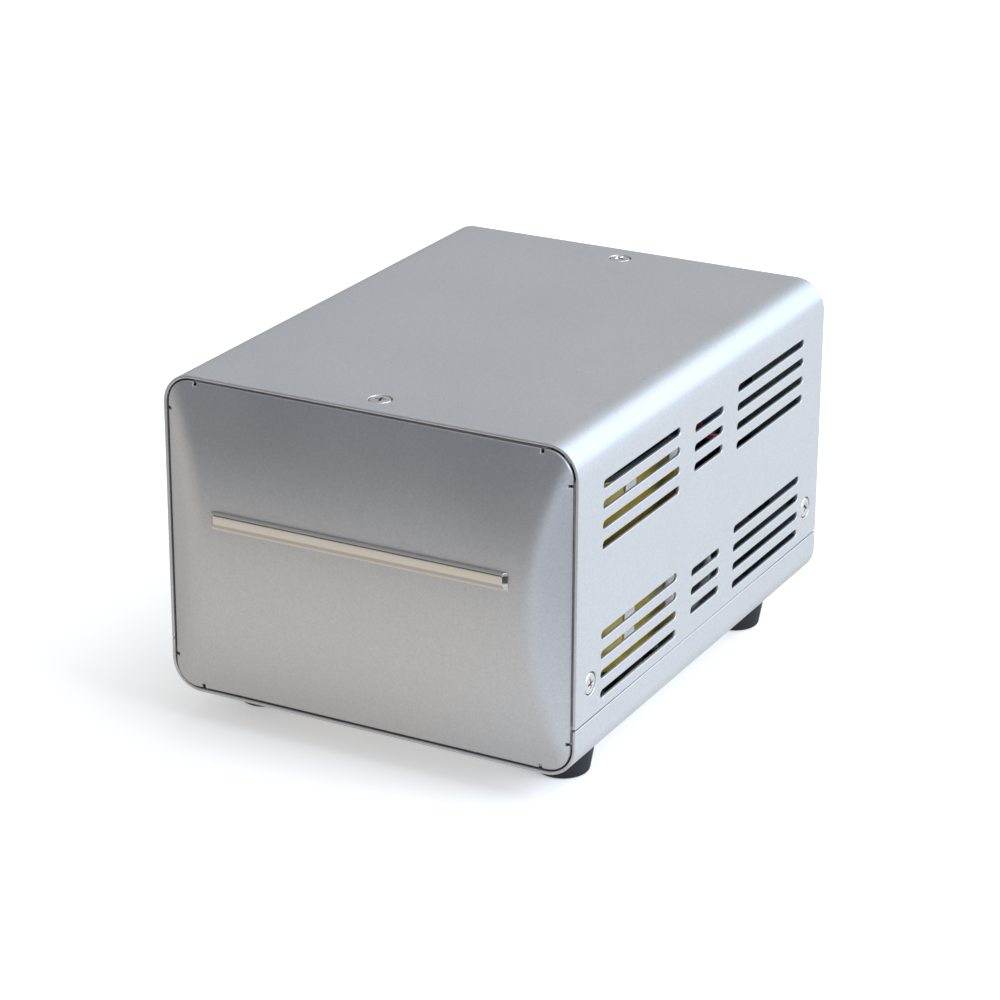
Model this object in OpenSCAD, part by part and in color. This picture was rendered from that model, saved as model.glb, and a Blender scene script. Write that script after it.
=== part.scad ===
// Bench voltage converter: a folded steel case on rubber feet with a pressed front panel,
// a laminated transformer inside, and an inlet, rocker, breaker and two outlets at the rear.
// Millimetres, +Z up, the front faces -Y, the origin is on the floor under the case's middle.

/* [Case] */
// Width of the case across its sides
case_w = 162; // [158:1:180]
// Depth of the case from front rim to rear rim
case_d = 206; // [200:1:230]
// Height of the case without its feet
case_h = 120; // [118:1:140]
// Thickness of the folded sheet
sheet_t = 1.2; // [0.8:0.1:1.5]
// Outside radius of the four long corners
corner_r = 11.5; // [8:0.5:14]
// Height of the seam between tray and cover
seam_h = 18.6; // [15:0.2:20]
// Open width of the seam
seam_gap = 0.6; // [0.3:0.1:1]
// Depth of the lap strip behind the seam
lap_h = 13; // [8:0.5:15]

/* [Vents] */
// Height of one slot
slot_w = 3; // [2:0.1:3.6]
// Distance between slots of one column
slot_pitch = 7.3; // [6.5:0.1:7.5]
// Length of the long slots
long_slot = 60; // [40:1:66]
// Length of the short slots
short_slot = 24; // [14:1:30]
// Distance of the long columns from the rims
vent_inset = 18.7; // [17:0.1:22]
// Distance of the upper slot group's middle below the top
upper_vent_drop = 29.8; // [28:0.2:36]
// Middle height of the lower slot group
lower_vent_z = 35.4; // [35:0.2:42]
// Slots in each long column
long_rows = 4; // [2:1:4]

/* [Panels] */
// Gap between a panel's edge and the case
panel_gap = 0.8; // [0.4:0.1:1]
// Depth of the front panel's edge behind the rim
front_recess = 0.4; // [0.2:0.1:2]
// Depth of the rear panel behind the rim
rear_recess = 3; // [1:0.2:5]
// Height of the front panel's bulge
bulge = 6.6; // [4:0.1:8]
// Slope of the front panel's end bevels
bevel_deg = 26; // [20:1:35]
// Rounding between bulge and end bevels
bevel_r = 16; // [6:1:24]
// Depth of the skirt at the front panel's edge
skirt = 3.2; // [2:0.1:4]
// Reach of the flanges behind each panel
flange_len = 16.4; // [15.5:0.1:17]
// Width of the relief slits at the flange ends
relief_w = 1.2; // [0.8:0.1:2]
// Length of the relief slits
relief_len = 1.6; // [1.2:0.1:4]
// Distance of the relief slits from the case sides
relief_inset = 13.2; // [12.5:0.1:16]

/* [Name bar] */
// Length of the bare bar
bar_w = 116.8; // [90:0.2:124]
// Height of the bar
bar_h = 6.6; // [5:0.1:10]
// Thickness of the bar above the panel
bar_t = 1.8; // [1:0.1:2.5]
// Height of the bar's middle above the case bottom
bar_z = 70.7; // [50:0.1:74]
// Width of the bar's bevelled edge
bar_bevel = 1; // [0.4:0.1:1.6]

/* [Screws] */
// Distance of the cover screws from the rims
screw_y = 11; // [10:0.2:12]
// Height of the side screws
side_screw_z = 32; // [30:0.2:34]
// Sideways place of the tray screws
tray_screw_x = 40; // [30:1:44]
// Head radius of the case screws
head_r = 4; // [3.5:0.1:4.4]
// Crown of the flush case screws above the sheet
crown_h = 0.4; // [0.2:0.05:0.6]
// Head height of the pan screws underneath
head_h = 2.2; // [1.6:0.1:2.6]
// Shank radius of the case screws
shank_r = 1.95; // [1.7:0.05:2]
// Shank length of the case screws
shank_len = 7; // [6:0.2:7.6]
// Radial room for a shank in the outer sheet
hole_room = 0.3; // [0.2:0.05:0.5]
// Room round a flush head in its dimple
dimple_room = 0.1; // [0.05:0.01:0.15]
// Radial room for a shank in its thread
thread_room = 0.08; // [0.05:0.01:0.15]
// Span of the crossed drive in the case screws
drive_w = 4.2; // [3:0.1:5]
// Width of the drive's slots
drive_t = 0.9; // [0.6:0.1:1.2]
// Depth of the drive
drive_depth = 1.3; // [0.8:0.1:1.6]
// Radius of the clinch nuts
clinch_r = 3.8; // [3.2:0.1:4]
// Height of the clinch nuts
clinch_h = 2.6; // [2:0.1:3]

/* [Feet] */
// Height of the rubber feet
foot_h = 12.6; // [9:0.1:16]
// Foot radius at the case
foot_top_r = 11.6; // [10:0.2:12]
// Foot radius at the floor
foot_low_r = 9.8; // [9:0.2:11]
// Rounding of the foot's lower edge
foot_edge = 1.4; // [0.6:0.1:2]
// Radius of the screw well in a foot
foot_well_r = 4.8; // [4.5:0.1:5.5]
// Thickness of rubber under the tray
foot_web = 4; // [3:0.1:4.4]
// Distance of the feet from the case sides
foot_inset = 20; // [17:0.5:22]
// Distance of the feet from the rims
foot_y = 30.4; // [29:0.2:32]

/* [Core] */
// Room between the front panel's flanges and the core
core_gap = 1.2; // [0.6:0.1:4]
// Room between the coil and the case sides
side_room = 8.3; // [7:0.1:10]
// Room between the core and the top of the cover
top_room = 5; // [4.4:0.1:6]
// Width of the middle limb
limb = 40; // [36:0.5:40]
// Width of each window
window_w = 19; // [18:0.5:19]
// Width of the outer limbs
outer_limb = 19; // [18:0.5:20]
// Width of the yokes
yoke = 20; // [19:0.5:20]
// Height of the core above the case bottom
core_z = 1.8; // [1.8:0.1:2.4]
// Radius of the core bolts
core_bolt_r = 3; // [2.5:0.1:3.5]
// Inset of the core bolts from the core's ends
bolt_inset = 9.5; // [9:0.1:10]
// Thickness of the mounting angles
angle_t = 3; // [2:0.1:3]
// Height of the mounting angles
angle_h = 15.4; // [14.6:0.1:15.4]
// Room between the angles' feet and the tray's bends
angle_room = 0.5; // [0.3:0.1:2]
// Length of the angles' feet
angle_len = 64; // [56:1:70]
// Height of the angles' upper bar above the tray
angle_lift = 5; // [4.6:0.1:5]

/* [Coil] */
// Room between bobbin and core
bobbin_room = 0.3; // [0.2:0.05:0.5]
// Wall of the bobbin
bobbin_t = 2; // [1.5:0.1:2]
// Depth of the inner winding
inner_wind = 7; // [5:0.1:7]
// Depth of the outer winding
outer_wind = 7; // [5:0.1:7.2]
// Room between winding layers
wind_room = 0.2; // [0.1:0.05:0.3]
// Thickness of the outer tape wrap
wrap_t = 0.8; // [0.4:0.1:1]
// Outside corner radius of the coil
coil_r = 12; // [8:0.5:14]
// Width of the white tie tapes
tape_w = 8; // [5:0.5:10]
// Thickness of the tie tapes
tape_t = 0.4; // [0.3:0.1:0.6]
// Distance of the tie tapes from the coil's middle
tape_y = 17; // [10:0.5:22]

/* [Inlet] */
// Height between the two rows of rear parts
row_gap = 45; // [42:0.5:46]
// Rise of the rows' middle above the case's middle
row_rise = 2.5; // [0:0.5:4]
// Room between the inlet's flange and the rocker's bezel
device_gap = 1.8; // [1:0.1:4]
// Edge of the inlet's flange beyond its screws
flange_edge = 5; // [4:0.5:6]
// Flange height of the inlet
inlet_flange_h = 31; // [28:0.5:34]
// Thickness of the device flanges
flange_t = 2.4; // [1.6:0.1:2.8]
// Width of the inlet recess
inlet_w = 28.4; // [27:0.1:30]
// Height of the inlet recess
inlet_h = 21.6; // [20.5:0.1:23]
// Depth of the inlet recess
inlet_depth = 16; // [14:0.5:18]
// Wall of the moulded bodies
mould_t = 2.2; // [1.6:0.1:2.4]
// Corner radius of the inlet nuts
inlet_nut_r = 3.1; // [2.9:0.1:3.4]
// Head radius of the inlet screws
inlet_head_r = 2.8; // [2.4:0.1:3]
// Shank radius of the inlet screws
inlet_shank_r = 1.45; // [1.2:0.05:1.6]
// Room between the inlet nuts and the moulding
nut_room = 0.5; // [0.3:0.1:1]
// Width of an inlet pin
pin_w = 8; // [6:0.1:8.2]
// Thickness of an inlet pin
pin_t = 2; // [1.6:0.1:2.2]
// Sideways offset of the outer pins
pin_x = 6.5; // [6:0.1:7]
// Height offset of the pins
pin_z = 4; // [3.6:0.1:4.2]
// Length of tab behind each moulded body
tab_len = 9; // [7:0.5:11]
// Room around metal inserted in mouldings
insert_room = 0.06; // [0.04:0.01:0.12]

/* [Rocker] */
// Sideways place of the rocker
rocker_x = 6; // [4:0.5:8]
// Swing radius of the rocker
rocker_r = 12.8; // [12:0.1:13.2]
// Width of the rocker
rocker_w = 18.6; // [17:0.1:19]
// Full swing of the rocker
rocker_swing = 20; // [14:1:24]
// Room beside the rocker
rocker_room = 0.5; // [0.4:0.05:0.8]
// Depth of the pivot behind the rear panel
pivot_depth = 2; // [1.5:0.1:2.5]
// Radius of the pivot stubs
pivot_r = 1.6; // [1.2:0.05:1.8]
// Radial room of the pivot stubs
pivot_room = 0.05; // [0.02:0.01:0.09]
// Wall of the rocker housing
rocker_wall = 1.4; // [1.2:0.1:1.8]
// Depth of the rocker housing
rocker_depth = 22; // [20:0.5:26]
// Edge of the rocker bezel beyond the cutout
bezel_edge = 2; // [1.4:0.1:3]

/* [Breaker] */
// Sideways place of the breaker
breaker_x = -44; // [-50:0.5:-40]
// Radius of the threaded bush
bush_r = 5.5; // [5:0.1:6]
// Radius of the reset button
button_r = 3.4; // [3:0.05:3.6]
// Radial room of the reset button
button_room = 0.04; // [0.02:0.005:0.05]
// Travel of the reset button
button_travel = 3; // [2:0.1:3.5]
// Reach of the button beyond the bush
button_reach = 3; // [2.5:0.1:3.6]
// Width of the breaker body
breaker_w = 17; // [16:0.5:19]
// Depth of the breaker body
breaker_depth = 26; // [24:0.5:30]
// Corner radius of the ring nut
ring_nut_r = 8; // [7.4:0.1:9]

/* [Outlets] */
// Sideways place of the flat-pin outlet
flat_x = 37; // [34:0.5:42]
// Face width of the flat-pin outlet
flat_w = 37; // [34:0.5:40]
// Face height of the flat-pin outlet
flat_h = 29; // [27:0.5:32]
// Depth of the outlet bodies
outlet_depth = 24; // [22:0.5:28]
// Spacing of the flat pin slots
flat_gap = 12.7; // [12:0.1:13.4]
// Height of a flat pin slot
flat_slot_h = 8; // [7:0.1:9]
// Width of a flat pin slot
flat_slot_w = 2.2; // [1.8:0.1:2.6]
// Depth of the pin slots
pin_depth = 13; // [10:0.5:15]
// Radius of the round earth hole
earth_r = 2.6; // [2.4:0.1:2.8]
// Sideways place of the round-pin outlet
round_x = -36; // [-40:0.5:-34]
// Radius of the round-pin recess
round_r = 19.3; // [18.5:0.1:20]
// Depth of the round-pin recess
round_depth = 13; // [10:0.5:14]
// Face size of the round-pin outlet
round_face = 47; // [45:0.5:50]
// Spacing of the round pin holes
round_gap = 19; // [18:0.1:19.5]
// Radius of the round pin holes
round_pin_r = 2.6; // [2.4:0.1:2.8]

/* [Leads] */
// Radius of the coil leads
lead_r = 1.5; // [1.1:0.1:1.7]
// Radius of the earth lead
earth_lead_r = 1.3; // [1:0.1:1.5]

/* [Hidden] */
$fn = 64;
rear_y = case_d - rear_recess;
cone_h = sheet_t + panel_gap;
half_w = case_w / 2;
in_x = half_w - sheet_t;
edge_x = in_x - panel_gap;
edge_lo = sheet_t + panel_gap;
edge_hi = case_h - edge_lo;
edge_r = corner_r - edge_lo;
mid_z = case_h / 2;
over = 20;
arc_half = edge_hi - mid_z;
arc_r = (arc_half * arc_half + bulge * bulge) / (2 * bulge);
apex_y = front_recess - bulge;
bar_tilt = asin((bar_z - mid_z) / arc_r);
bar_seat_y = apex_y + arc_r * (1 - cos(bar_tilt));
front_reach = bar_t * cos(bar_tilt) + (bar_h / 2 - bar_bevel) * sin(bar_tilt) - bar_seat_y;
bevel_tan = bevel_r * tan(bevel_deg / 2);
bevel_x = edge_x - bulge / tan(bevel_deg);
bevel_steps = 10;
column_pitch = case_d / 2 - vent_inset - long_slot / 2;
upper_vent_z = case_h - upper_vent_drop;
foot_x = half_w - foot_inset;
wind_1 = wind_room + inner_wind;
wind_2 = wind_1 + wind_room + outer_wind;
coil_depth = bobbin_room + bobbin_t + wind_2 + wrap_t;
half_stack = in_x - side_room - coil_depth;
stack = 2 * half_stack;
core_len = limb + 2 * window_w + 2 * outer_limb;
core_h = case_h - sheet_t - top_room - core_z;
core_y = front_recess + flange_len + core_gap + core_len / 2;
core_rear = core_y + core_len / 2;
window_h = core_h - 2 * yoke;
window_z = core_z + yoke;
angle_foot = half_w - corner_r - angle_room - half_stack;
bobbin_x = half_stack + bobbin_room + bobbin_t;
bobbin_y = limb / 2 + bobbin_room + bobbin_t;
coil_x = bobbin_x + wind_2 + wrap_t;
coil_y = bobbin_y + wind_2 + wrap_t;
bobbin_lo = window_z + bobbin_room;
bobbin_hi = window_z + window_h - bobbin_room;
wind_lo = bobbin_lo + bobbin_t + wind_room;
wind_hi = bobbin_hi - bobbin_t - wind_room;
low_row_z = mid_z + row_rise - row_gap / 2;
high_row_z = low_row_z + row_gap;
inlet_back = rear_y + flange_t - inlet_depth - mould_t;
pivot_y = rear_y - pivot_depth;
rocker_cut_h = 2 * (rocker_r + rocker_room + rocker_wall);
rocker_cut_w = rocker_w + 2 * (rocker_room + rocker_wall);
rocker_back = rear_y - rocker_depth;
inlet_screw_gap = inlet_w + 2 * (mould_t + inlet_nut_r + nut_room);
inlet_flange_w = inlet_screw_gap + 2 * flange_edge;
inlet_x = rocker_x + rocker_cut_w / 2 + bezel_edge + device_gap + inlet_flange_w / 2;
button_tip = case_d + front_reach;
bush_tip = button_tip - button_reach;
breaker_back = rear_y - sheet_t - breaker_depth;
flat_back = rear_y + flange_t - outlet_depth;
round_back = flat_back - mould_t;
cut_room = 0.3;

// Sub-part names, and the one to draw

// Case frame to object frame: the front rim is y = 0 and the case bottom z = 0 inside
module in_case() {
  translate([0, -case_d / 2, foot_h])
    children();
}

// Children drawn on both sides of the middle plane
module both_sides() {
  children();
  mirror([1, 0, 0])
    children();
}

// Children drawn at the front and mirrored to the rear of the case
module both_ends() {
  children();
  translate([0, case_d, 0])
    mirror([0, 1, 0])
      children();
}

// Rectangle with rounded corners about the origin
module round_rect(w, h, r) {
  square([w - 2 * r, h], center = true);
  square([w, h - 2 * r], center = true);
  for (sx = [-1, 1])
    for (sy = [-1, 1])
      translate([sx * (w / 2 - r), sy * (h / 2 - r)])
        circle(r);
}

// Rounded block through the case, between two depths
module case_block(inset, y0, y1) {
  translate([0, y1, mid_z])
    rotate([90, 0, 0])
      linear_extrude(y1 - y0)
        round_rect(case_w - 2 * inset, case_h - 2 * inset, corner_r - inset);
}

// Folded shell of the case between two heights
module case_shell(z0, z1) {
  intersection() {
    difference() {
      case_block(0, 0, case_d);
      case_block(sheet_t, -over, case_d + over);
    }
    translate([-case_w, -over, z0])
      cube([2 * case_w, case_d + 2 * over, z1 - z0]);
  }
}

// One slot with round ends, drawn in depth and height
module slot_2d(len) {
  square([len - slot_w, slot_w], center = true);
  for (s = [-1, 1])
    translate([s * (len - slot_w) / 2, 0])
      circle(slot_w / 2, $fn = 32);
}

// One group of slots: two long columns and a short one between them at half pitch
module slot_group() {
  for (k = [0 : long_rows - 1])
    for (s = [-1, 1])
      translate([s * column_pitch, (k - (long_rows - 1) / 2) * slot_pitch])
        slot_2d(long_slot);
  for (k = [0 : long_rows - 2])
    translate([0, (k - (long_rows - 2) / 2) * slot_pitch])
      slot_2d(short_slot);
}

// Both slot groups of one side as a cutter through that side
module slot_cutter() {
  translate([in_x - 1, case_d / 2, 0])
    rotate([90, 0, 90])
      linear_extrude(sheet_t + 2) {
        translate([0, upper_vent_z])
          slot_group();
        translate([0, lower_vent_z])
          slot_group();
      }
}

// Screw with a domed head and crossed drive, head upwards, seated at the origin
module pan_screw(hr, hh, sr, len) {
  dome_r = (hr * hr + hh * hh) / (2 * hh) + hh;
  difference() {
    intersection() {
      cylinder(r = hr, h = hh);
      translate([0, 0, hh - dome_r])
        sphere(dome_r);
    }
    for (a = [0, 90])
      rotate(a)
        translate([-hr * 0.5, -hr * 0.1, hh * 0.45])
          cube([hr, hr * 0.2, hh]);
  }
  translate([0, 0, -len])
    cylinder(r = sr, h = len + 0.2, $fn = 32);
}

// Screw with a sunk cone head, a low crown and a crossed drive, flush at the origin
module flush_screw() {
  crown_r = (head_r * head_r + crown_h * crown_h) / (2 * crown_h);
  difference() {
    union() {
      translate([0, 0, -cone_h])
        cylinder(r1 = shank_r, r2 = head_r, h = cone_h);
      intersection() {
        cylinder(r = head_r, h = 2 * crown_h);
        translate([0, 0, crown_h - crown_r])
          sphere(crown_r, $fn = 128);
      }
    }
    for (a = [0, 90])
      rotate(a)
        translate([-drive_w / 2, -drive_t / 2, crown_h - drive_depth])
          cube([drive_w, drive_t, drive_depth + 1]);
  }
  translate([0, 0, -shank_len])
    cylinder(r = shank_r, h = shank_len - cone_h + 0.2, $fn = 32);
}

// Ring seated at the origin and reaching up
module ring(ro, ri, h) {
  difference() {
    cylinder(r = ro, h = h);
    translate([0, 0, -1])
      cylinder(r = ri, h = h + 2, $fn = 32);
  }
}

// Hexagon nut seated at the origin and reaching up
module hex_nut(corner, bore, h) {
  difference() {
    cylinder(r = corner, h = h, $fn = 6);
    translate([0, 0, -1])
      cylinder(r = bore, h = h + 2, $fn = 32);
  }
}

// Places of the screws in the case, each looking outwards along +Z of its own frame
module at_top_screws(z) {
  both_ends()
    translate([0, screw_y, z])
      children();
}

// Places on the two sides, front and rear, outwards along +Z of their own frame
module at_side_screws(x) {
  both_sides()
    both_ends()
      translate([x, screw_y, side_screw_z])
        rotate([0, 90, 0])
          children();
}

// Places under the tray, outwards and down
module at_tray_screws(z) {
  both_sides()
    both_ends()
      translate([tray_screw_x, screw_y, z])
        rotate([180, 0, 0])
          children();
}

// Places of the four feet
module at_feet(z) {
  both_sides()
    both_ends()
      translate([foot_x, foot_y, z])
        children();
}

// Places of the four angle screws
module at_angle_screws(z) {
  both_sides()
    for (s = [-1, 1])
      translate([half_stack + angle_foot * 0.62, core_y + s * angle_len * 0.34, z])
        children();
}

// Dimples for the flush heads, sunk from the outside of the case
module case_screw_dimples() {
  at_top_screws(case_h - cone_h)
    dimple();
  at_side_screws(half_w - cone_h)
    dimple();
  at_tray_screws(cone_h)
    dimple();
}

// Cone that takes one flush head
module dimple() {
  cylinder(r1 = shank_r + dimple_room, r2 = head_r + dimple_room, h = cone_h);
}

// Holes for the case screws through all sheets, larger in the outer sheet than in the flange
module case_screw_holes(room) {
  at_top_screws(case_h - over / 2)
    cylinder(r = shank_r + room, h = over, $fn = 32);
  at_side_screws(half_w - over / 2)
    cylinder(r = shank_r + room, h = over, $fn = 32);
  at_tray_screws(over / 2)
    cylinder(r = shank_r + room, h = over, $fn = 32);
}

module bottom_tray() {
  color("silver")
    difference() {
      union() {
        case_shell(-1, seam_h - seam_gap / 2);
        both_sides()
          translate([in_x - sheet_t - cut_room, foot_y + foot_top_r, seam_h - lap_h + 3])
            cube([sheet_t, case_d - 2 * foot_y - 2 * foot_top_r, lap_h]);
        both_sides()
          translate([in_x - sheet_t, foot_y + foot_top_r, seam_h - lap_h + 3])
            cube([sheet_t * 1.4, case_d - 2 * foot_y - 2 * foot_top_r, lap_h - 5]);
      }
      case_screw_holes(hole_room);
      case_screw_dimples();
      at_feet(-1)
        cylinder(r = shank_r + hole_room, h = over, $fn = 32);
      at_angle_screws(-1)
        cylinder(r = shank_r + hole_room, h = sheet_t + 2, $fn = 32);
      translate([0, earth_y(), -1])
        cylinder(r = shank_r + hole_room, h = over / 2, $fn = 32);
    }
}

module top_cover() {
  color("silver")
    difference() {
      case_shell(seam_h + seam_gap / 2, case_h + 1);
      both_sides()
        slot_cutter();
      case_screw_holes(hole_room);
      case_screw_dimples();
    }
}

// Plan of the pressed front: a flat middle that falls away at both ends by rounded bevels
module bulge_plan(back) {
  tx = bevel_x - bevel_tan;
  right = [for (i = [0 : bevel_steps])
    let (a = bevel_deg * (1 - i / bevel_steps))
    [tx + bevel_r * sin(a), apex_y + bevel_r * (1 - cos(a))]];
  left = [for (i = [0 : bevel_steps]) [-right[bevel_steps - i][0], right[bevel_steps - i][1]]];
  ends = [[-edge_x, front_recess], [-edge_x, back], [edge_x, back], [edge_x, front_recess]];
  polygon(concat(ends, right, left));
}

// Pressed pillow: the case outline, the vertical bulge and the bevelled plan taken together
module pillow(inset, back) {
  intersection() {
    case_block(edge_lo + inset, -over, back);
    translate([0, apex_y + arc_r, mid_z])
      rotate([0, 90, 0])
        cylinder(r = arc_r, h = case_w, center = true, $fn = 1440);
    translate([0, 0, -over])
      linear_extrude(case_h + 2 * over)
        bulge_plan(back);
  }
}

// Slits that end the flanges at the four corners, through the panel's edge
module relief_slits() {
  both_sides()
    for (m = [0, 1])
      translate([0, 0, m * case_h])
        mirror([0, 0, m]) {
          translate([half_w - relief_inset - relief_w / 2, -over, edge_lo - 1])
            cube([relief_w, 2 * over, relief_len + 1]);
          translate([edge_x - relief_len, -over, relief_inset - relief_w / 2])
            cube([relief_len + 1, 2 * over, relief_w]);
        }
}

// Four flanges between the slits, reaching from one depth to another
module panel_flanges(y0, y1) {
  fx = half_w - relief_inset - relief_w / 2;
  fz = mid_z - relief_inset - relief_w / 2;
  translate([-fx, y0, edge_hi - sheet_t])
    cube([2 * fx, y1 - y0, sheet_t]);
  translate([-fx, y0, edge_lo])
    cube([2 * fx, y1 - y0, sheet_t]);
  both_sides()
    translate([edge_x - sheet_t, y0, mid_z - fz])
      cube([sheet_t, y1 - y0, 2 * fz]);
}

module front_panel() {
  back = front_recess + skirt;
  color("silver")
    difference() {
      union() {
        difference() {
          pillow(0, back);
          translate([0, sheet_t, 0])
            pillow(sheet_t, back);
        }
        panel_flanges(back - sheet_t, front_recess + flange_len);
      }
      relief_slits();
      case_screw_holes(thread_room);
    }
}

// Openings in the rear panel for the devices it carries
module rear_cutouts() {
  translate([inlet_x, rear_y - over, low_row_z])
    rotate([-90, 0, 0])
      linear_extrude(2 * over)
        square([inlet_w + 2 * (mould_t + cut_room), inlet_h + 2 * (mould_t + cut_room)], center = true);
  translate([rocker_x, rear_y - over, low_row_z])
    rotate([-90, 0, 0])
      linear_extrude(2 * over)
        square([rocker_cut_w + 2 * cut_room, rocker_cut_h + 2 * cut_room], center = true);
  translate([breaker_x, rear_y - over, low_row_z])
    rotate([-90, 0, 0])
      cylinder(r = bush_r + cut_room, h = 2 * over);
  translate([flat_x, rear_y - over, high_row_z])
    rotate([-90, 0, 0])
      linear_extrude(2 * over)
        square([flat_w - 4 + 2 * cut_room, flat_h - 4 + 2 * cut_room], center = true);
  translate([round_x, rear_y - over, high_row_z])
    rotate([-90, 0, 0])
      cylinder(r = round_r + mould_t + cut_room, h = 2 * over);
  at_inlet_screws(rear_y - over)
    cylinder(r = inlet_shank_r + hole_room, h = 2 * over, $fn = 32);
}

// Flat rear plate with the same corner slits as the front
module rear_panel() {
  color("silver")
    difference() {
      case_block(edge_lo, rear_y - sheet_t, rear_y);
      translate([0, case_d, 0])
        relief_slits();
      rear_cutouts();
    }
}

// Four strips welded behind the rear plate that take the case screws
module rear_flanges() {
  color("silver")
    difference() {
      panel_flanges(case_d - front_recess - flange_len, rear_y - sheet_t);
      case_screw_holes(thread_room);
    }
}

// Bare bar: a bevelled strip laid on the bulge, square to its surface at the bar's height
module name_bar() {
  color("gainsboro")
    translate([0, bar_seat_y, bar_z])
      rotate([90 - bar_tilt, 0, 0])
        bar_block(0, bar_t);
}

// Strip with its front edges cut away at a slant, reaching from one depth to another
module bar_block(d0, d1) {
  intersection() {
    translate([-bar_w / 2, -bar_h / 2, d0])
      cube([bar_w, bar_h, d1 - d0]);
    rotate([90, 0, 90])
      translate([0, 0, -bar_w / 2])
        linear_extrude(bar_w)
          polygon([[-bar_h / 2, d0 - 1], [bar_h / 2, d0 - 1], [bar_h / 2, d1 - bar_bevel],
            [bar_h / 2 - bar_bevel, d1], [-bar_h / 2 + bar_bevel, d1], [-bar_h / 2, d1 - bar_bevel]]);
    rotate([90, 0, 0])
      translate([0, 0, -bar_h / 2])
        linear_extrude(bar_h)
          polygon([[-bar_w / 2, d0 - 1], [bar_w / 2, d0 - 1], [bar_w / 2, d1 - bar_bevel],
            [bar_w / 2 - bar_bevel, d1], [-bar_w / 2 + bar_bevel, d1], [-bar_w / 2, d1 - bar_bevel]]);
  }
}

module top_screws() {
  color("lightgray")
    at_top_screws(case_h)
      flush_screw();
}

module side_screws() {
  color("lightgray")
    at_side_screws(half_w)
      flush_screw();
}

module tray_screws() {
  color("lightgray")
    at_tray_screws(0)
      flush_screw();
}

// Nuts clinched to the flanges of both panels, one under each case screw
module clinch_nuts() {
  color("darkgray") {
    at_top_screws(edge_hi - sheet_t - clinch_h)
      ring(clinch_r, shank_r + thread_room, clinch_h);
    at_side_screws(edge_x - sheet_t - clinch_h)
      ring(clinch_r, shank_r + thread_room, clinch_h);
    at_tray_screws(edge_lo + sheet_t + clinch_h)
      ring(clinch_r, shank_r + thread_room, clinch_h);
  }
}

// Rubber foot: a tapered block with a rounded lower edge and a well for its screw
module foot() {
  color("dimgray")
    difference() {
      rotate_extrude()
        union() {
          polygon([[0, -foot_h], [foot_low_r - foot_edge, -foot_h], [foot_low_r, foot_edge - foot_h],
            [foot_top_r, 0], [0, 0]]);
          translate([foot_low_r - foot_edge, foot_edge - foot_h])
            intersection() {
              circle(foot_edge);
              translate([0, -foot_edge])
                square([foot_edge, foot_edge]);
            }
        }
      translate([0, 0, -foot_h - 1])
        cylinder(r = foot_well_r, h = foot_h - foot_web + 1);
      translate([0, 0, -foot_h])
        cylinder(r = shank_r + hole_room, h = 2 * foot_h, $fn = 32);
    }
}

module foot_front_left() {
  translate([-foot_x, foot_y, 0])
    foot();
}

module foot_front_right() {
  translate([foot_x, foot_y, 0])
    foot();
}

module foot_rear_left() {
  translate([-foot_x, case_d - foot_y, 0])
    foot();
}

module foot_rear_right() {
  translate([foot_x, case_d - foot_y, 0])
    foot();
}

module foot_screws() {
  color("lightgray")
    at_feet(-foot_web)
      rotate([180, 0, 0])
        pan_screw(head_r, head_h, shank_r, foot_web + sheet_t + 3);
}

module foot_nuts() {
  color("darkgray")
    at_feet(sheet_t)
      hex_nut(head_r, shank_r + thread_room, 2.4);
}

// Profile of the core in depth and height, cut off at the joint between E and I pieces
module core_profile(z0, z1) {
  intersection() {
    difference() {
      translate([-core_len / 2, 0])
        square([core_len, core_h]);
      for (s = [-1, 1])
        translate([s * (limb + window_w) / 2 - window_w / 2, yoke])
          square([window_w, window_h]);
    }
    translate([-core_len, z0])
      square([2 * core_len, z1 - z0]);
  }
}

// Places of the core bolts along the stack, each looking along +X as +Z of its own frame
module at_core_bolts(x) {
  for (s = [-1, 1])
    for (z = [yoke / 2, core_h - yoke / 2])
      translate([x, core_y + s * (core_len / 2 - bolt_inset), core_z + z])
        rotate([0, 90, 0])
          children();
}

// Stack of laminations between two heights of the profile, with its bolt holes
module core_stack(z0, z1) {
  color([0.3, 0.31, 0.33])
    difference() {
      translate([-half_stack, core_y, core_z])
        rotate([90, 0, 90])
          linear_extrude(stack)
            core_profile(z0, z1);
      at_core_bolts(-case_w / 2)
        cylinder(r = core_bolt_r + hole_room, h = case_w, $fn = 32);
    }
}

module e_laminations() {
  core_stack(0, core_h - yoke);
}

module i_laminations() {
  core_stack(core_h - yoke, core_h);
}

// Upright rounded ring about the middle limb, between two outlines and two heights
module coil_ring(grow_out, r_out, grow_in, r_in, z0, z1) {
  translate([0, core_y, z0])
    linear_extrude(z1 - z0)
      difference() {
        round_rect(2 * (bobbin_x + grow_out), 2 * (bobbin_y + grow_out), r_out);
        round_rect(2 * (bobbin_x + grow_in), 2 * (bobbin_y + grow_in), r_in);
      }
}

module coil_bobbin() {
  color([0.75, 0.62, 0.3]) {
    coil_ring(0, 1.5, -bobbin_t, 0.5, bobbin_lo, bobbin_hi);
    coil_ring(wind_2 + wrap_t, coil_r, -bobbin_t / 2, 0.8, bobbin_lo, bobbin_lo + bobbin_t);
    coil_ring(wind_2 + wrap_t, coil_r, -bobbin_t / 2, 0.8, bobbin_hi - bobbin_t, bobbin_hi);
  }
}

module inner_winding() {
  color([0.72, 0.45, 0.2])
    coil_ring(wind_1, coil_r * 0.6, wind_room, 1.7, wind_lo, wind_hi);
}

module outer_winding() {
  color([0.72, 0.45, 0.2])
    coil_ring(wind_2 - wind_room, coil_r - wrap_t - wind_room, wind_1 + wind_room, coil_r * 0.6 + wind_room,
      wind_lo, wind_hi);
}

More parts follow.
